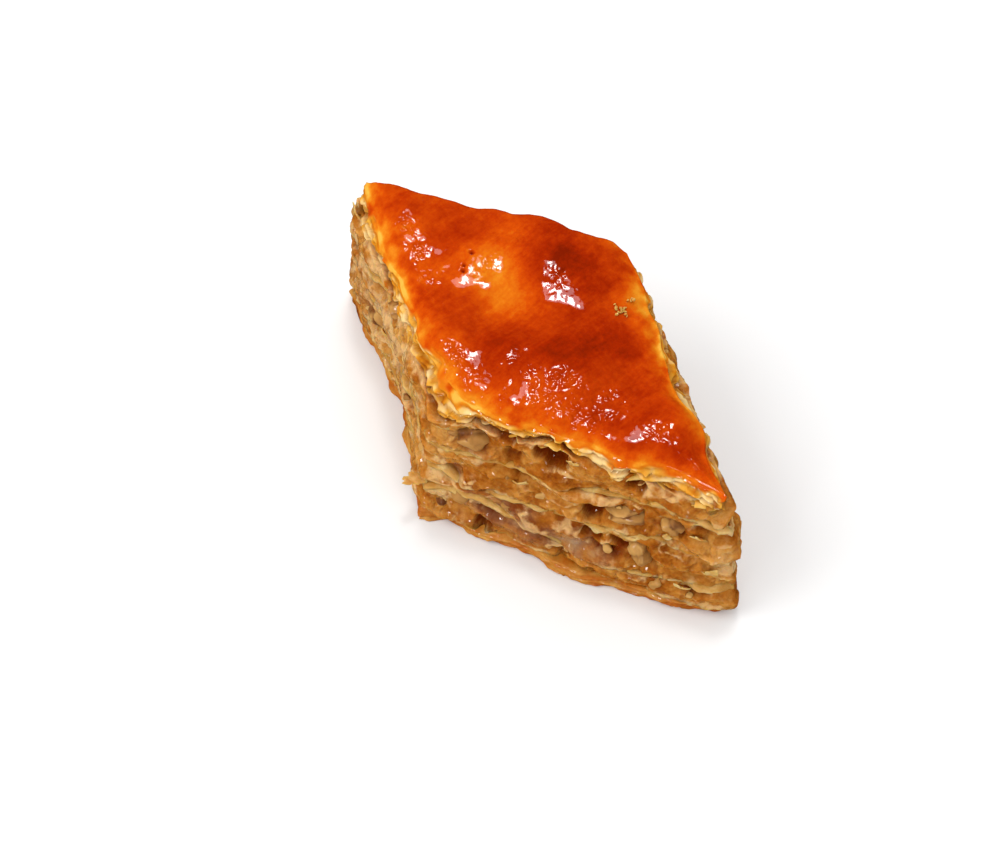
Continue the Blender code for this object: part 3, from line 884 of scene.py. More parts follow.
# Thin leaves of dough between the highest sheet and the crust: each one's share of the way up, its lip's
# reach and turn, its thickness and a seed
LEAVES = {
    "crust_leaf_lower": (
        0.80,
        (-1.4, 1.4, [("front", 0.10, 5, 0.6), ("front", 0.60, 4, 2.2), ("front", 0.80, 5, 1.2)]),
        (45, 40, [("front", 0.60, 5, 30)]),
        0.45,
        27,
    ),
    "crust_leaf_upper": (
        0.93,
        (-0.8, 1.2, [("front", 0.07, 5, 0.5), ("front", 0.60, 4, 1.8), ("front", 0.82, 4, 0.6)]),
        (45, 40, [("front", 0.60, 5, 30)]),
        0.5,
        28,
    ),
}
LIP_BACK = 3.4  # how far in from the cut a lip's rings begin
SHEET_INSETS = (0.7, 0.42, 0.24)


def lip_profile(rim, profile, size, seed):
    """A plain amount with its variation and its spots, for every column."""
    plain, rough, spots = profile
    return plain + rough * crumple(rim.outline, size, 2, seed) + rim.spots(spots)


def lip_rings(rim, layer, height, reach, turn, thickness, tip, steps, seed):
    """Rings round a sheet's lip, along its underside, round its tip and back, and how far out each is.

    The sheet comes out of the cut and bends down under its own weight, thinner and more rippled at its tip.
    """
    u, v = rim.at(0.0)
    lift = np.mean(height(plain_point(u, v, 0.5))) / RIM_HEIGHT
    edge = plan_points(layer, u, v, lift)
    place = edge - rim.out * LIP_BACK
    reach = np.maximum(reach, 0.6 - LIP_BACK)
    step = (LIP_BACK + reach) / (steps - 1)
    fall = np.zeros(rim.count)
    under, over, past = [], [], []
    for number in range(steps):
        distance = step * number
        angle = np.radians(turn) * ramp(distance, LIP_BACK - 1.1, LIP_BACK + 0.7)
        if number:
            place = place + rim.out * (np.cos(angle) * step)[:, None]
            fall = fall + np.sin(angle) * step
        beyond = ramp(distance, LIP_BACK - 1.8, LIP_BACK + 2.0)
        points = with_height(place, height(place) - fall)
        normal = np.column_stack([rim.out * np.sin(angle)[:, None], np.cos(angle)])
        ripple = 0.4 * beyond * noise(points, 4, seed) + 0.18 * noise(points, 1.2, seed + 1)
        points += normal * ripple[:, None]
        half = thickness / 2 * (1 - (1 - tip) * beyond) * (1 + 0.25 * noise(points, 1.8, seed + 2))
        over.append(points + normal * half[:, None])
        under.append(points - normal * half[:, None])
        past.append(beyond)
    forward = np.column_stack([rim.out * np.cos(angle)[:, None], -np.sin(angle)])
    end = (over[-1] + under[-1]) / 2 + forward * (half * 0.9)[:, None]
    return [*under, end, *over[::-1]], [*past, past[-1], *past[::-1]]


def dough_values(rings, past, seed):
    """How pale each ring of a sheet is, and how much painted shade it gets where it lies back in the cut."""
    pale, deep = [], []
    for points, beyond in zip(rings, past):
        pale.append(0.4 + 0.25 * noise(points * (1, 1, 1.5), 4, seed + 5) + 0.5 * beyond)
        # Painted shade on the part of the sheet that lies back in the cut, under the paste
        deep.append(0.6 * (1 - ramp(beyond, 0.0, 0.22)))
    return {"pale": pale, "deep": deep}


def sheet_shell(rim, name):
    """Rings of a whole dough sheet, with its lip all round, and the values painted on it."""
    surface = LAYERS[name][1]
    seed = list(SHEET_LIPS).index(name) * 9 + 40
    reach = lip_profile(rim, SHEET_LIPS[name][0], 4.5, seed)
    reach += 0.2 * crumple(rim.outline, 1.4, 2, seed + 4)
    turn = np.clip(lip_profile(rim, SHEET_LIPS[name][1], 7.0, seed + 3), 0, 95)

    def height(places):
        return uneven_surface(surface, places)

    lip, past = lip_rings(rim, name, height, reach, turn, SHEET_THICKNESS, tip=0.75, steps=11, seed=seed)
    rings, beyond = [], []
    for inset in SHEET_INSETS:
        places = plain_point(*rim.at(inset), 0.5)
        rings.append(with_height(places, height(places)))
        beyond.append(np.zeros(rim.count))
    half = np.array((0, 0, SHEET_THICKNESS / 2))
    rings = [ring - half for ring in rings] + lip + [ring + half for ring in rings[::-1]]
    return rings, dough_values(rings, beyond + past + beyond, seed)


def leaf_belt(rim, name):
    """Rings of a thin leaf between two layers, which shows only where it comes out of the cut."""
    share, reach, turn, thickness, seed = LEAVES[name]
    reach = lip_profile(rim, reach, 7.5, seed)
    reach += 1.2 * grains(rim.outline, 3.8, seed)[1] - 0.6 + 0.22 * crumple(rim.outline, 1.6, 2, seed + 4)
    turn = np.clip(lip_profile(rim, turn, 12.0, seed + 3), -10, 95)

    def height(places):
        bottom, top = uneven_surface("high", places), uneven_surface("crust", places)
        flat = with_height(places, 0.0)
        sway = 0.3 * noise(flat, 8, seed + 6) + 0.12 * noise(flat, 3, seed + 7)
        return bottom + (top - bottom) * np.clip(share + sway, 0.05, 0.95)

    rings, past = lip_rings(rim, "top_crust", height, reach, turn, thickness, tip=0.6, steps=8, seed=seed)
    return rings, dough_values(rings, past, seed)


# ------------------------------------------------------------------ nut paste

PASTE_INSETS = (0.5, 0.22, 0.10, 0.045, 0.018)
PASTE_ROW = 0.34  # the height of a row of faces on the cut
PASTE_STAND = 0.85  # how far the soft paste bulges out past the frame's plain filling
PIT_SHADE_DEPTH = 2.0  # how deep a pit is when it shows its full painted shade, a dark amber
# Where the cut tore a hole in the filling or bared a lump, on each side: (along, height, half width, half
# height, depth), with a negative depth for a lump
PITS = {
    "front": [
        (0.41, 32.4, 3.8, 2.4, 4.4), (0.25, 33.2, 2.2, 1.6, 2.8), (0.69, 32.6, 2.0, 2.0, 3.2),
        (0.27, 28.5, 1.8, 2.4, 1.2), (0.32, 24.2, 2.6, 1.5, 2.0), (0.555, 21.6, 1.9, 2.6, 3.4),
        (0.825, 24.6, 1.6, 2.2, 2.8), (0.715, 24.8, 0.8, 1.4, 1.6), (0.92, 27.4, 2.6, 2.0, 2.0),
        (0.665, 14.8, 2.6, 1.7, 4.4), (0.56, 14.6, 1.6, 1.3, 2.6), (0.61, 11.8, 4.2, 1.7, 2.0),
        (0.20, 5.2, 2.0, 1.6, 3.0), (0.23, 9.6, 3.6, 1.3, 1.8), (0.47, 5.0, 2.0, 1.4, 2.2),
        (0.57, 3.6, 2.4, 1.1, 2.0), (0.08, 17.6, 2.4, 2.0, 1.4), (0.88, 7.6, 3.4, 1.4, 1.8),
        (0.47, 26.2, 4.2, 3.0, -0.8), (0.46, 20.2, 4.5, 2.4, -0.8), (0.48, 14.0, 3.6, 2.0, -0.9),
        (0.83, 15.6, 5.0, 3.4, -0.8), (0.20, 20.5, 3.5, 3.0, -0.6), (0.36, 9.0, 3.0, 3.0, -0.5),
        (0.985, 21.0, 3.0, 4.0, -1.2),
    ],
    "back_right": [(0.95, 21.0, 5.0, 4.5, -1.8), (0.35, 21.5, 3.6, 3.0, 3.0)],
    "back_left": [(0.62, 30.5, 4.0, 3.0, 3.0), (0.25, 12.0, 3.6, 3.0, 3.2)],
    "front_left": [
        (0.70, 5.5, 3.2, 1.6, 2.4), (0.55, 9.5, 3.0, 2.0, 2.2), (0.35, 27.5, 3.0, 2.2, 1.6),
        (0.18, 21.0, 3.5, 2.2, 1.4), (0.75, 18.0, 3.0, 2.4, 1.2),
    ],
}
RANDOM_PITS = 14  # on each of the other two sides
# Where the paste shows greyish sugar, or cream-coloured dough smeared over it, or a lighter tone, darker
# where the amount is negative, on each side: (along, height, half width, half height, amount)
SUGAR = {
    "front": [(0.52, 9.6, 7.0, 2.6, 0.7), (0.27, 10.0, 11.0, 6.0, 0.45), (0.14, 28.0, 4.0, 3.0, 0.4)],
    "front_left": [(0.55, 18.0, 9.0, 6.0, 0.5), (0.25, 18.0, 12.0, 10.0, 0.3)],
}
CREAM = {
    "front": [
        (0.75, 33.8, 4.5, 3.2, 0.6), (0.05, 19.0, 4.0, 5.0, 0.15), (0.34, 12.0, 5.0, 4.0, 0.3),
        (0.48, 14.0, 4.0, 2.0, 0.5), (0.0, 20.0, 5.0, 14.0, 0.3), (1.0, 18.0, 5.0, 16.0, 0.3),
    ],
    "front_left": [(0.50, 20.0, 30.0, 18.0, 0.46)],
}
# The tone patches: the dark patch low on the front's left half is painted shade, and the whole front left
# side is lighter partly for its paler cream and partly as painted light.
TONE_AND_PAINTED_LIGHT = {
    "front": [
        (0.03, 20.0, 5.0, 22.0, 0.2), (0.98, 14.0, 6.0, 22.0, 0.25), (0.32, 11.0, 15.0, 8.0, -0.3),
        (0.28, 27.0, 5.0, 5.0, -0.12),
    ],
    "front_left": [(0.50, 20.0, 40.0, 24.0, 0.1)],
}


def all_pits():
    """The listed pits, random ones on the sides behind, and the clearings round the walnut kernels."""
    draw = np.random.default_rng(PIT_SEED)
    pits = {side: list(each) for side, each in PITS.items()}
    for side in ("back_left", "back_right"):
        for _ in range(RANDOM_PITS):
            width, height = draw.uniform(1.4, 3.6), draw.uniform(1.2, 2.4)
            depth = draw.choice([draw.uniform(1.0, 2.8), -0.6])
            pits[side].append((draw.uniform(0.06, 0.94), draw.uniform(5, 33), width, height, depth))
    for number, (side, along, length, _, _) in enumerate(WALNUTS, 1):
        low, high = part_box(f"walnut_piece_{number}")
        height, half = (low.z + high.z) / 2 / MM, (high.z - low.z) / 2 / MM
        pits[side].append((along, height, WALNUT_CLEARING * length, 1.1 * half, WALNUT_RECESS))
    return pits


def on_face(rim, points, spots, sharp=1.5):
    """The sum of ragged patches on the cut sides, for one ring of the face."""
    total = np.zeros(rim.count)
    sway, lift = noise(points, 2.6, 90), noise(points, 2.6, 91)
    for side, each in spots.items():
        for middle, level, half_width, half_height, amount in each:
            run = ((rim.along - middle) * rim.length + sway) / half_width
            away = run**2 + ((points[:, 2] - level + lift) / half_height) ** 2
            total += np.where(rim.side == side, amount * np.exp(-(away**sharp)), 0.0)
    return total


def shell_steps(insets, rows):
    """How far in and how far up each ring of a layer is: under it, up its cut edge and back over it."""
    edge = [(0.0, share) for share in np.linspace(0, 1, rows)]
    return [(inset, 0.0) for inset in insets] + edge + [(inset, 1.0) for inset in insets[::-1]]


def layer_depth(name):
    """How thick a filling is, near enough."""
    _, low, high = LAYERS[name]
    return SURFACE_HEIGHTS[high] - SURFACE_HEIGHTS[low]


def paste_span(name, places):
    """The heights between which a filling lies, against the middles of the sheets that it meets."""
    _, low, high = LAYERS[name]
    return uneven_surface(low, places), uneven_surface(high, places)


def paste_relief(points, seed, beside):
    """How far the cut paste stands out, its painted shade in the crevices between grains, and how creamy and
    toned it is, that far from a sheet.
    """
    soft = warped(points, 3.0, 1.2, seed)
    inside, chunk = grains(soft * (1, 1, 1.25), 4.6, seed)
    small_inside, crumb = grains(warped(points, 1.0, 0.5, seed + 4), 1.5, seed + 3)
    smeared = ramp(noise(soft, 7, seed + 5), -0.25, 0.3)
    kept = ramp(chunk, 0.4, 0.5)
    whole = np.sqrt(ramp(inside, 0.0, 0.4)) * kept
    loose = ramp(small_inside, 0.0, 0.3) * (1 - whole) * (1 - 0.75 * smeared)
    strand = noise(points * (0.6, 0.6, 1.5), 4.5, seed + 8)
    strand = 1 - ramp(np.abs(strand), 0.02, 0.14)
    strand = strand * ramp(noise(points, 8, seed + 9), -0.2, 0.2) * (1 - whole)
    relief = 0.58 * whole * (0.3 + chunk) + 0.4 * loose * crumb + 0.4 * smeared * (1 - whole) - 0.5
    relief += 0.24 * noise(points, 2.6, seed + 6) + 0.1 * noise(points, 0.9, seed + 7) + 0.35 * strand
    # Painted shade in the crevices between the grains and crumbs
    gap = 0.28 * (1 - ramp(inside, 0.0, 0.12)) * kept
    gap += 0.28 * (1 - ramp(small_inside, 0.0, 0.22)) * (1 - whole) * (1 - smeared)
    tone = whole * (0.3 + 0.35 * (7.3 * chunk % 1)) + (1 - whole) * (0.35 + 0.3 * crumb * (1 - smeared))
    tone += 0.24 * noise(points, 7.0, seed + 12) + 0.15 * noise(points, 3.6, seed + 13) - 0.03
    cream = 0.6 * strand + 0.35 * smeared * (1 - whole) + 0.3 * noise(points * (1, 1, 0.4), 1.8, seed + 10)
    cream += 0.52 * np.exp(-((beside / 1.3) ** 2)) * ramp(noise(points, 6, seed + 14), -0.5, 0.3)
    return relief, np.clip(gap, 0, 1), cream, tone


def paste_shell(rim, name):
    """Rings of a filling from its underside, up its cut face and over it, and the values painted on it."""
    seed = 60 + 11 * list(LAYERS).index(name)
    thickness = layer_depth(name)
    pits = all_pits()
    rings = []
    values = {"deep": [], "cream": [], "tone": [], "sugar": []}
    for inset, share in shell_steps(PASTE_INSETS, round(thickness / PASTE_ROW)):
        u, v = rim.at(inset)
        bottom, top = paste_span(name, plain_point(u, v, 0.5))
        places = plan_points(name, u, v, (bottom + (top - bottom) * share) / RIM_HEIGHT)
        bottom, top = paste_span(name, places)
        points = with_height(places, bottom + (top - bottom) * share)
        relief, deep, cream, tone = paste_relief(points, seed, min(share, 1 - share) * thickness)
        pit = on_face(rim, points, pits, 2.2)
        fade = math.exp(-((inset * FADE_IN) ** 2))
        belly = 0.5 * math.sin(math.pi * share)
        points[:, :2] += rim.out * ((relief + belly + PASTE_STAND - pit) * fade)[:, None]
        rings.append(points)
        # Painted shade: in the crevices, in the pits, and on the rings that lie back inside the piece
        values["deep"].append(np.clip(deep + ramp(pit, 0.3, PIT_SHADE_DEPTH) + 0.7 * (1 - fade), 0, 1))
        values["cream"].append(cream + on_face(rim, points, CREAM))
        values["tone"].append(tone + on_face(rim, points, TONE_AND_PAINTED_LIGHT))
        sugar = on_face(rim, points, SUGAR) * (0.7 + noise(points, 2.5, seed + 9))
        values["sugar"].append(np.clip(sugar, 0, 1))
    return rings, values


# ------------------------------------------------------------------ browned bottom

BASE_INSETS = (0.6, 0.3, 0.14, 0.06, 0.02)
BASE_ROWS = 16
BASE_LEAF_PITCH = 0.9


def base_shell(rim):
    """Rings of the bottom dough from its flat underside, up its ragged edge and over it."""
    rings, bake = [], []
    for inset, share in shell_steps(BASE_INSETS, BASE_ROWS):
        lift = share * SURFACE_HEIGHTS["base"] / RIM_HEIGHT
        places = plan_points("base_crust", *rim.at(inset), lift)
        points = with_height(places, uneven_surface("base", places) * share)
        level = points[:, 2] / BASE_LEAF_PITCH + 0.8 * noise(points, 8, 33)
        leaves = np.column_stack([points[:, :2], LEAVES_APART * np.floor(level)])
        out = 0.8 * noise(leaves, 4.2, 31) + 0.25 * noise(leaves, 1.3, 32) - 0.9
        out += 0.4 * np.abs(np.sin(math.pi * level)) ** 0.6 + 0.3 * math.sin(math.pi * share)
        points[:, :2] += rim.out * (out * math.exp(-((inset * FADE_IN) ** 2)))[:, None]
        points[:, 2] = np.maximum(points[:, 2], 0.0)
        rings.append(points)
        bake.append(0.5 - 0.2 * share + 0.4 * noise(leaves * (1, 1, 2), 5, 34))
    return rings, {"bake": bake}


# ------------------------------------------------------------------ walnuts


def ball(cuts):
    """An icosphere's points and faces."""
    made = bmesh.new()
    bmesh.ops.create_icosphere(made, subdivisions=cuts, radius=1)
    points = np.array([vert.co for vert in made.verts])
    faces = [[vert.index for vert in face.verts] for face in made.faces]
    made.free()
    return points, faces


def broken(points, draw, cuts, shallow, deep):
    """A ball broken along some random planes, softly, and where its rounded outside is left."""
    shaped = points.copy()
    outside = np.ones(len(points))
    for way, depth in zip(unit(draw.normal(size=(cuts, 3))), draw.uniform(deep, shallow, cuts)):
        over = np.maximum(shaped @ way - depth, 0)
        shaped -= (0.8 * over)[:, None] * way
        outside = np.where(over > 0.01, 0.0, outside)
    place = shaped + draw.uniform(0, 40, 3)
    return shaped * (1 + 0.14 * noise(place, 0.8, 61) + 0.04 * noise(place, 0.3, 62))[:, None], outside


def turned(draw):
    """A random rotation."""
    turn, _ = np.linalg.qr(draw.normal(size=(3, 3)))
    return turn * np.sign(np.linalg.det(turn))


def swung(side, **tilts):
    """The rotation that lines X up with a side, after tilts about the axes given, in degrees."""
    turn = Matrix.Rotation(math.atan2(*side_vector(side)[::-1]), 3, "Z")
    for axis, angle in tilts.items():
        turn = turn @ Matrix.Rotation(math.radians(angle), 3, axis)
    return np.array(turn)


def shaved(points, face, out, stand):
    """Flattens what stands out past the knife's face, softly."""
    over = (points[:, :2] - face) @ out - stand - 0.3 * noise(points, 2.2, 60)
    cut = ramp(over, -0.1, 0.15)
    points[:, :2] -= out * np.maximum(over * 0.85, 0)[:, None]
    return points, cut


def kernel_shape(number):
    """A piece of walnut's points and faces: folded lobes with a groove, broken on some sides."""
    points, faces = ball(4)
    draw = np.random.default_rng(KERNEL_SEED + number)
    shaped, outside = broken(points, draw, 2, 0.9, 0.7)
    folds = np.abs(noise(points, 0.85, number)) + 0.5 * np.abs(noise(points, 0.42, number + 3))
    groove = points @ unit(draw.normal(size=3)) + 0.2 * noise(points, 0.9, number + 5)
    groove = np.exp(-((groove / 0.13) ** 2))
    size = 1 + 0.22 * (folds - 0.35) - 0.16 * groove + 0.04 * noise(points, 0.16, number + 7)
    skin = np.clip(outside * 0.8 * ramp(noise(points, 0.8, number + 9), -0.3, 0.3) + 0.5 * groove, 0, 1)
    return shaped * size[:, None], faces, skin


def add_kernel(number, material):
    """One walnut kernel where the frame has it, flattened at the cut."""
    side, along, length, depth, tilt = WALNUTS[number - 1]
    low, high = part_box(f"walnut_piece_{number}")
    middle = np.array((low + high) / 2) / MM
    out = outward(side)
    foot = foot_offset(side, along, middle[2] / RIM_HEIGHT)
    middle[:2] += out * foot
    points, faces, skin = kernel_shape(number)
    half = np.array((length * 1.12, depth + 3.0, (high - low).z / MM * 1.1)) / 2
    points = points / np.abs(points).max(0) * half
    points = points @ swung(side, Y=tilt).T + middle
    face = plain_point(*place_on(side, along), middle[2] / RIM_HEIGHT) + out * foot
    points, cut = shaved(points, face, out, 0.8)
    tone = 0.5 + 0.35 * noise(points, 3, number)
    values = {"tone": tone, "skin": np.clip(skin * (1 - cut) + 1.2 * cut * (1 - cut), 0, 1)}
    name = f"walnut_kernel_{number}"
    add_piece(name, points, faces, material, values, stands_for=[f"walnut_piece_{number}"], slot="walnut")


def chopped_walnuts(count, low_size, high_size):
    """Broken bits of walnut set in the cut fillings: their points, faces and painted values."""
    template, template_faces = ball(3)
    draw = np.random.default_rng(BIT_SEED)
    depths = np.array([layer_depth(name) for name in FILLINGS])
    lengths = np.array([side_length(side) for side in SIDES])
    bits, tones, skins = [], [], []
    for _ in range(count):
        name = FILLINGS[draw.choice(len(FILLINGS), p=depths / depths.sum())]
        side = list(SIDES)[draw.choice(4, p=lengths / lengths.sum())]
        along, share = draw.uniform(0.05, 0.95), draw.uniform(0.16, 0.84)
        size = low_size + (high_size - low_size) * draw.random() ** 2.2
        uv = np.array(place_on(side, along))[:, None]
        bottom, top = (float(height[0]) for height in paste_span(name, plain_point(*uv, 0.5)))
        height = bottom + (top - bottom) * share
        lift = height / RIM_HEIGHT
        offset = float(edge_offset(name, side, np.array([along]), np.array([lift]))[0])
        out = outward(side)
        face = plain_point(*place_on(side, along), lift) + out * (offset + 0.5)
        shape, outside = broken(template, draw, 5, 0.8, 0.4)
        shape = shape * draw.uniform(0.6, 1.0, 3) * size / 2
        shape = shape @ turned(draw).T
        centre = np.array((*(face - out * size * draw.uniform(0.05, 0.3)), height))
        points, cut = shaved(shape + centre, face, out, draw.uniform(0.1, 0.7))
        bits.append((points, template_faces))
        tones.append(np.full(len(points), draw.uniform(0.05, 0.75)))
        skins.append(outside * (1 - cut) * (draw.random() < 0.45))
    return *merged(bits), {"tone": np.concatenate(tones), "skin": np.concatenate(skins)}


# ------------------------------------------------------------------ flakes and crumbs

# Torn flakes on each cut side: (along, height, width, length, stand, lean, turn), where lean tips it out
# from the side and turn swings it round in the side, in degrees
FLAKES = {
    "front": [
        (0.32, 22.4, 1.3, 4.6, 0.9, 20, 50), (0.945, 15.6, 2.4, 6.0, 1.2, 30, 10),
        (0.90, 24.6, 2.0, 3.6, 1.0, 25, -60), (0.80, 21.8, 1.6, 3.2, 0.8, 15, 20),
        (0.86, 9.2, 2.6, 3.0, 1.0, 25, 80), (0.05, 31.0, 2.0, 3.4, 0.6, 15, -70),
        (0.48, 33.5, 2.2, 3.0, 0.9, 20, 30),
    ],
    "front_left": [
        (0.97, 10.5, 3.2, 5.0, 2.2, 75, 0), (0.20, 30.0, 2.4, 4.0, 0.8, 20, 10),
        (0.42, 16.0, 2.0, 4.4, 0.8, 20, 70), (0.08, 33.0, 2.8, 5.0, 1.0, 25, 0),
        (0.66, 24.0, 1.8, 3.6, 0.8, 15, -40),
    ],
    "back_left": [(0.30, 20.0, 2.2, 4.6, 0.9, 25, 30), (0.70, 27.0, 2.0, 3.8, 0.9, 20, -30)],
    "back_right": [(0.35, 25.0, 2.2, 4.2, 0.9, 25, 60), (0.75, 14.0, 2.0, 4.0, 0.9, 20, -20)],
}
FLAKE_ROWS, FLAKE_COLUMNS, FLAKE_THICKNESS = 10, 24, 0.35


def flake_shape(width, length, seed):
    """A thin curled flake with a ragged outline, about its own middle: across X, along Z and thin in Y."""
    draw = np.random.default_rng(FLAKE_SEED + seed)
    around = np.linspace(0, 2 * math.pi, FLAKE_COLUMNS, endpoint=False)
    ragged = 1 + 0.22 * np.sin(3 * around + draw.uniform(0, 6)) + 0.16 * draw.normal(size=FLAKE_COLUMNS)
    rings = []
    shares = np.linspace(0.12, 1, FLAKE_ROWS)
    for side in (-1, 1):
        ordered = shares if side < 0 else shares[::-1]
        for share in ordered:
            x = width / 2 * share * ragged * np.cos(around)
            z = length / 2 * share * ragged * np.sin(around)
            flat = np.column_stack([x, np.zeros(FLAKE_COLUMNS), z])
            curl = 0.09 * z**2 + 0.35 * noise(flat, 1.8, seed)
            half = FLAKE_THICKNESS / 2 * (1 - 0.6 * share**4)
            rings.append(np.column_stack([x, curl + side * half, z]))
    return closed_shell(rings)


def torn_flakes():
    """All the flakes' points, faces and painted values."""
    listed = [(side, *flake) for side, flakes in FLAKES.items() for flake in flakes]
    shapes = []
    for seed, (side, along, height, width, length, stand, lean, swing) in enumerate(listed):
        points, faces = flake_shape(width, length, seed)
        stand += foot_offset(side, along, height / RIM_HEIGHT) - 0.6
        place = plain_point(*place_on(side, along), height / RIM_HEIGHT) + outward(side) * stand
        shapes.append((points @ swung(side, X=lean, Y=swing).T + (*place, height), faces))
    points, faces = merged(shapes)
    return points, faces, {"pale": 0.75 + 0.2 * noise(points, 2, 50), "deep": np.zeros(len(points))}


# Crumbs on the crust: (u, v, radius of the cluster, number)
CRUMBS = [(0.31, 0.85, 1.5, 22), (0.24, 0.90, 1.0, 4)]


def loose_crumbs():
    """Small crumbs on the crust: their points, faces and painted values."""
    template, template_faces = ball(2)
    draw = np.random.default_rng(CRUMB_SEED)
    crumbs = []
    for u, v, radius, number in CRUMBS:
        for _ in range(number):
            place = plain_point(u, v, 1.0) + draw.normal(size=2) * radius * 0.5
            height = crust_top(place[None], np.array([u]), np.array([v]))[0]
            shape, _ = broken(template, draw, 4, 0.8, 0.5)
            shape = (shape * draw.uniform(0.12, 0.45, 3)) @ turned(draw).T
            crumbs.append((shape + (*place, height + 0.15), template_faces))
    points, faces = merged(crumbs)
    return points, faces, {"bake": 0.2 * noise(points, 1.0, 51)}


# ------------------------------------------------------------------ stage

# The lights: how far round from the camera and how high each stands, in degrees, its distance and size, its
# power in watts for each watt of its setting, and whether it shows in the glaze
KEYS = [
    ("key", 180, 79, 0.8, 0.1, 1.05, True),
    ("key_glow", 180, 79, 0.8, 0.22, 0.6, True),
    ("sparkle", -26, 12, 0.8, 0.12, 1.0, True),
]
SOFTBOXES = [
    ("soft_left", -75, 45, 1.2, 0.8, 0.8, False),
    ("soft_right", 48, 50, 1.2, 0.8, 0.06, False),
    ("soft_far", 170, 30, 1.2, 0.8, 0.3, False),
]
AIM = Vector((-3.1, -7.3, 7.5)) * MM
CAMERA_TURN, CAMERA_RISE, CAMERA_ROLL = 43.5, 56.6, 2.6  # degrees
CAMERA_LENS, CAMERA_DISTANCE = 79.2, 450.6  # in millimetres
FLOOR_HALF = 3.0  # in metres


def back_vector(turn, rise):
    """From the aim point towards a camera turned and raised by those degrees."""
    turn, rise = math.radians(turn), math.radians(rise)
    return Vector((math.sin(turn) * math.cos(rise), -math.cos(turn) * math.cos(rise), math.sin(rise)))


def aimed(turn, rise, distance):
    """The place and the rotation of what looks at the aim point from there."""
    back = back_vector(turn, rise)
    return Matrix.Translation(AIM + back * distance) @ back.to_track_quat("Z", "Y").to_matrix().to_4x4()


def add_camera():
    """The camera, which looks down on the near corner."""
    data = bpy.data.cameras.new("camera")
    data.lens = CAMERA_LENS
    data.clip_start = 10 * MM
    camera = new_object("camera", data)
    roll = Matrix.Rotation(math.radians(CAMERA_ROLL), 4, "Z")
    camera.matrix_world = aimed(CAMERA_TURN, CAMERA_RISE, CAMERA_DISTANCE * MM) @ roll
    bpy.context.scene.camera = camera


def add_light(name, turn, rise, distance, size, power, mirrored):
    """A square studio light that faces the piece. Only a mirrored one shows in the glaze."""
    data = bpy.data.lights.new(name, "AREA")
    data.size = size
    data.energy = power
    light = new_object(name, data)
    light.visible_glossy = mirrored
    light.matrix_world = aimed(turn, rise, distance)


def add_floor(material):
    """A wide plain floor."""
    mesh = bpy.data.meshes.new("floor")
    half = FLOOR_HALF
    corners = [(-half, -half, 0), (half, -half, 0), (half, half, 0), (-half, half, 0)]
    mesh.from_pydata(corners, [], [(0, 1, 2, 3)])
    mesh.materials.append(material)
    floor = new_object("floor", mesh)
    floor.location.z = CAD_BOX[0].z - 0.02 * MM
    floor.visible_glossy = False


# ------------------------------------------------------------------ settings, operators and panel


class BaklavaCrustSettings(bpy.types.PropertyGroup):
    """The glazed top crust."""

    gloss: FloatProperty(
        name="Syrup Roughness", description="Roughness of the syrup's coat", default=0.05, min=0.0, max=1.0
    )
    bake: FloatProperty(
        name="Bake", description="How dark the egg wash baked", default=0.58, min=0.0, max=1.0
    )
    wrinkle: FloatProperty(
        name="Wrinkle Height",
        description="Height of the glaze's fine wrinkles, in millimetres",
        default=0.3,
        min=0.0,
    )


class BaklavaNutSettings(bpy.types.PropertyGroup):
    """The chopped walnuts in the fillings."""

    count: IntProperty(
        name="Bits", description="How many chopped bits show in the cut sides", default=150, min=1
    )
    smallest: FloatProperty(
        name="Smallest", description="Size of the smallest bit, in millimetres", default=1.4, min=0.2
    )
    largest: FloatProperty(
        name="Largest", description="Size of the largest bit, in millimetres", default=4.6, min=0.2
    )


class BaklavaCutSettings(bpy.types.PropertyGroup):
    """The cut sides."""

    columns: IntProperty(
        name="Columns", description="Columns of faces along each cut side", default=200, min=20
    )


class BaklavaStageSettings(bpy.types.PropertyGroup):
    """The floor and the studio lights."""

    floor_colour: FloatVectorProperty(
        name="Floor",
        description="Colour of the floor",
        subtype="COLOR",
        size=3,
        default=hex_linear("#f0f0f0"),
    )
    key_power: FloatProperty(
        name="Key Power",
        description="Power of the small lights that the glaze mirrors",
        subtype="POWER",
        default=0.9,
        min=0.0,
    )
    soft_power: FloatProperty(
        name="Soft Power", description="Power of each large softbox", subtype="POWER", default=8.5, min=0.0
    )
    sky: FloatProperty(name="Fill", description="Strength of the white surroundings", default=0.74, min=0.0)


def cut_rim():
    """The columns round the cut sides, at the density that the panel sets."""
    return Rim(bpy.context.scene.baklava_cut.columns)


class BAKLAVA_OT_glazed_crust(bpy.types.Operator):
    """Adds the glazed top crust"""

    bl_idname = "baklava.glazed_crust"
    bl_label = "Glazed Crust"

    def execute(self, context):
        settings = context.scene.baklava_crust
        points, faces, values = crust_mesh(cut_rim(), settings)
        material = glazed_crust_material(settings)
        links = {"stands_for": ["top_crust"], "slot": "glazed_crust"}
        add_piece("glazed_crust", points, faces, material, values, **links)
        return {"FINISHED"}


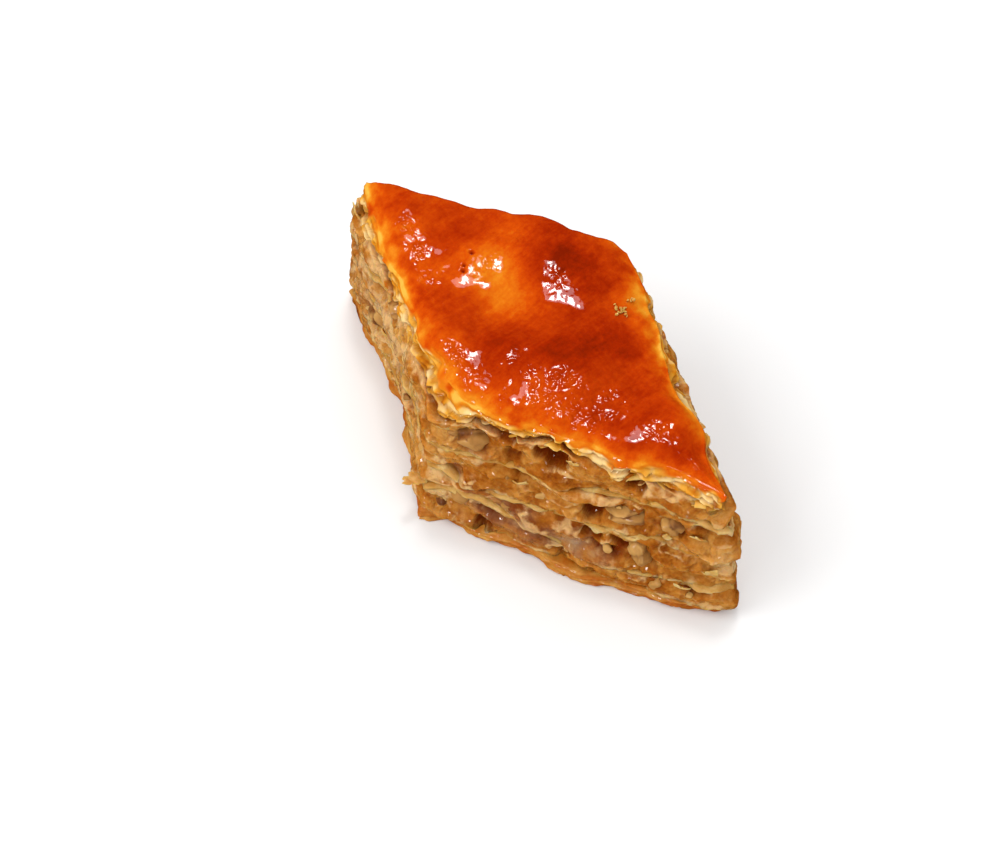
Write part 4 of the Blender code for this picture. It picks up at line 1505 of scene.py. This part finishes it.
class BAKLAVA_OT_dough_sheets(bpy.types.Operator):
    """Adds the three dough sheets with their torn lips, and the thin leaves under the crust"""

    bl_idname = "baklava.dough_sheets"
    bl_label = "Dough Sheets"

    def execute(self, context):
        rim = cut_rim()
        soaked = [(0.0, "#8a5212"), (0.25, "#a46a1e"), (0.5, "#bf883a"), (0.75, "#d0a35a"), (1.0, "#e2c286")]
        golden = [(0.0, "#a8580c"), (0.2, "#cf7c12"), (0.45, "#dd9a2e"), (0.65, "#e4b052"), (1.0, "#ecca88")]
        material = soaked_dough_material("soaked_yufka", soaked, 0.5)
        for name in SHEET_LIPS:
            rings, values = sheet_shell(rim, name)
            add_shell("torn_" + name, rings, material, values, stands_for=[name], slot="dough_sheet")
        material = soaked_dough_material("golden_yufka", golden, 0.2)
        for name in LEAVES:
            rings, values = leaf_belt(rim, name)
            add_belt(name, rings, material, values, slot="dough_sheet")
        return {"FINISHED"}


class BAKLAVA_OT_nut_paste(bpy.types.Operator):
    """Adds the four layers of nut paste"""

    bl_idname = "baklava.nut_paste"
    bl_label = "Nut Paste"

    def execute(self, context):
        rim = cut_rim()
        material = nut_paste_material()
        for name in FILLINGS:
            rings, values = paste_shell(rim, name)
            piece = name.replace("walnut_filling", "nut_paste")
            add_shell(piece, rings, material, values, stands_for=[name], slot="walnut_filling")
        return {"FINISHED"}


class BAKLAVA_OT_browned_bottom(bpy.types.Operator):
    """Adds the browned bottom dough"""

    bl_idname = "baklava.browned_bottom"
    bl_label = "Browned Bottom"

    def execute(self, context):
        rings, values = base_shell(cut_rim())
        material = browned_dough_material()
        add_shell("browned_bottom", rings, material, values, stands_for=["base_crust"], slot="browned_base")
        return {"FINISHED"}


class BAKLAVA_OT_walnuts(bpy.types.Operator):
    """Adds the walnut kernels and the chopped walnuts"""

    bl_idname = "baklava.walnuts"
    bl_label = "Walnuts"

    def execute(self, context):
        settings = context.scene.baklava_nuts
        material = walnut_material()
        for number in range(1, len(WALNUTS) + 1):
            add_kernel(number, material)
        points, faces, values = chopped_walnuts(settings.count, settings.smallest, settings.largest)
        add_piece("chopped_walnuts", points, faces, material, values, slot="walnut")
        return {"FINISHED"}


class BAKLAVA_OT_flakes(bpy.types.Operator):
    """Adds the torn flakes on the cut sides and the crumbs on the crust"""

    bl_idname = "baklava.flakes"
    bl_label = "Flakes and Crumbs"

    def execute(self, context):
        soaked, browned = (bpy.data.materials[name] for name in ("soaked_yufka", "browned_yufka"))
        points, faces, values = torn_flakes()
        add_piece("torn_flakes", points, faces, soaked, values, slot="dough_sheet")
        points, faces, values = loose_crumbs()
        add_piece("loose_crumbs", points, faces, browned, values, slot="browned_base")
        return {"FINISHED"}


class BAKLAVA_OT_stage(bpy.types.Operator):
    """Adds the floor, the lights and the camera"""

    bl_idname = "baklava.stage"
    bl_label = "Studio Stage"

    def execute(self, context):
        settings = context.scene.baklava_stage
        add_floor(matt_floor_material(settings))
        for lights, power in ((KEYS, settings.key_power), (SOFTBOXES, settings.soft_power)):
            for name, turn, rise, distance, size, share, mirrored in lights:
                add_light(name, CAMERA_TURN + turn, rise, distance, size, power * share, mirrored)
        world = bpy.data.worlds.new("white_studio")
        world.use_nodes = True
        surround = world.node_tree.nodes["Background"]
        surround.inputs["Color"].default_value = (1, 1, 1, 1)
        surround.inputs["Strength"].default_value = settings.sky
        world.cycles_visibility.glossy = False
        context.scene.world = world
        context.scene.view_settings.view_transform = "Standard"
        add_camera()
        return {"FINISHED"}


STEPS = (
    BAKLAVA_OT_glazed_crust,
    BAKLAVA_OT_dough_sheets,
    BAKLAVA_OT_nut_paste,
    BAKLAVA_OT_browned_bottom,
    BAKLAVA_OT_walnuts,
    BAKLAVA_OT_flakes,
    BAKLAVA_OT_stage,
)
SETTINGS = {
    "baklava_crust": BaklavaCrustSettings,
    "baklava_nuts": BaklavaNutSettings,
    "baklava_cut": BaklavaCutSettings,
    "baklava_stage": BaklavaStageSettings,
}


class BAKLAVA_PT_sidebar(bpy.types.Panel):
    """Lists the settings and the pieces"""

    bl_label = "Baklava"
    bl_idname = "BAKLAVA_PT_sidebar"
    bl_space_type = "VIEW_3D"
    bl_region_type = "UI"
    bl_category = "Baklava"

    def draw(self, context):
        for name, group in SETTINGS.items():
            box = self.layout.box()
            box.label(text=group.__doc__)
            for key in group.__annotations__:
                box.prop(getattr(context.scene, name), key)
        for step in STEPS:
            self.layout.operator(step.bl_idname)


def register():
    for group in (*SETTINGS.values(), *STEPS, BAKLAVA_PT_sidebar):
        bpy.utils.register_class(group)
    for name, group in SETTINGS.items():
        setattr(bpy.types.Scene, name, PointerProperty(type=group))


def unregister():
    for name in SETTINGS:
        delattr(bpy.types.Scene, name)
    for group in (BAKLAVA_PT_sidebar, *reversed(STEPS), *reversed(SETTINGS.values())):
        bpy.utils.unregister_class(group)


def main():
    register()
    for step in STEPS:
        group, name = step.bl_idname.split(".")
        getattr(getattr(bpy.ops, group), name)()


if __name__ == "__main__":
    main()
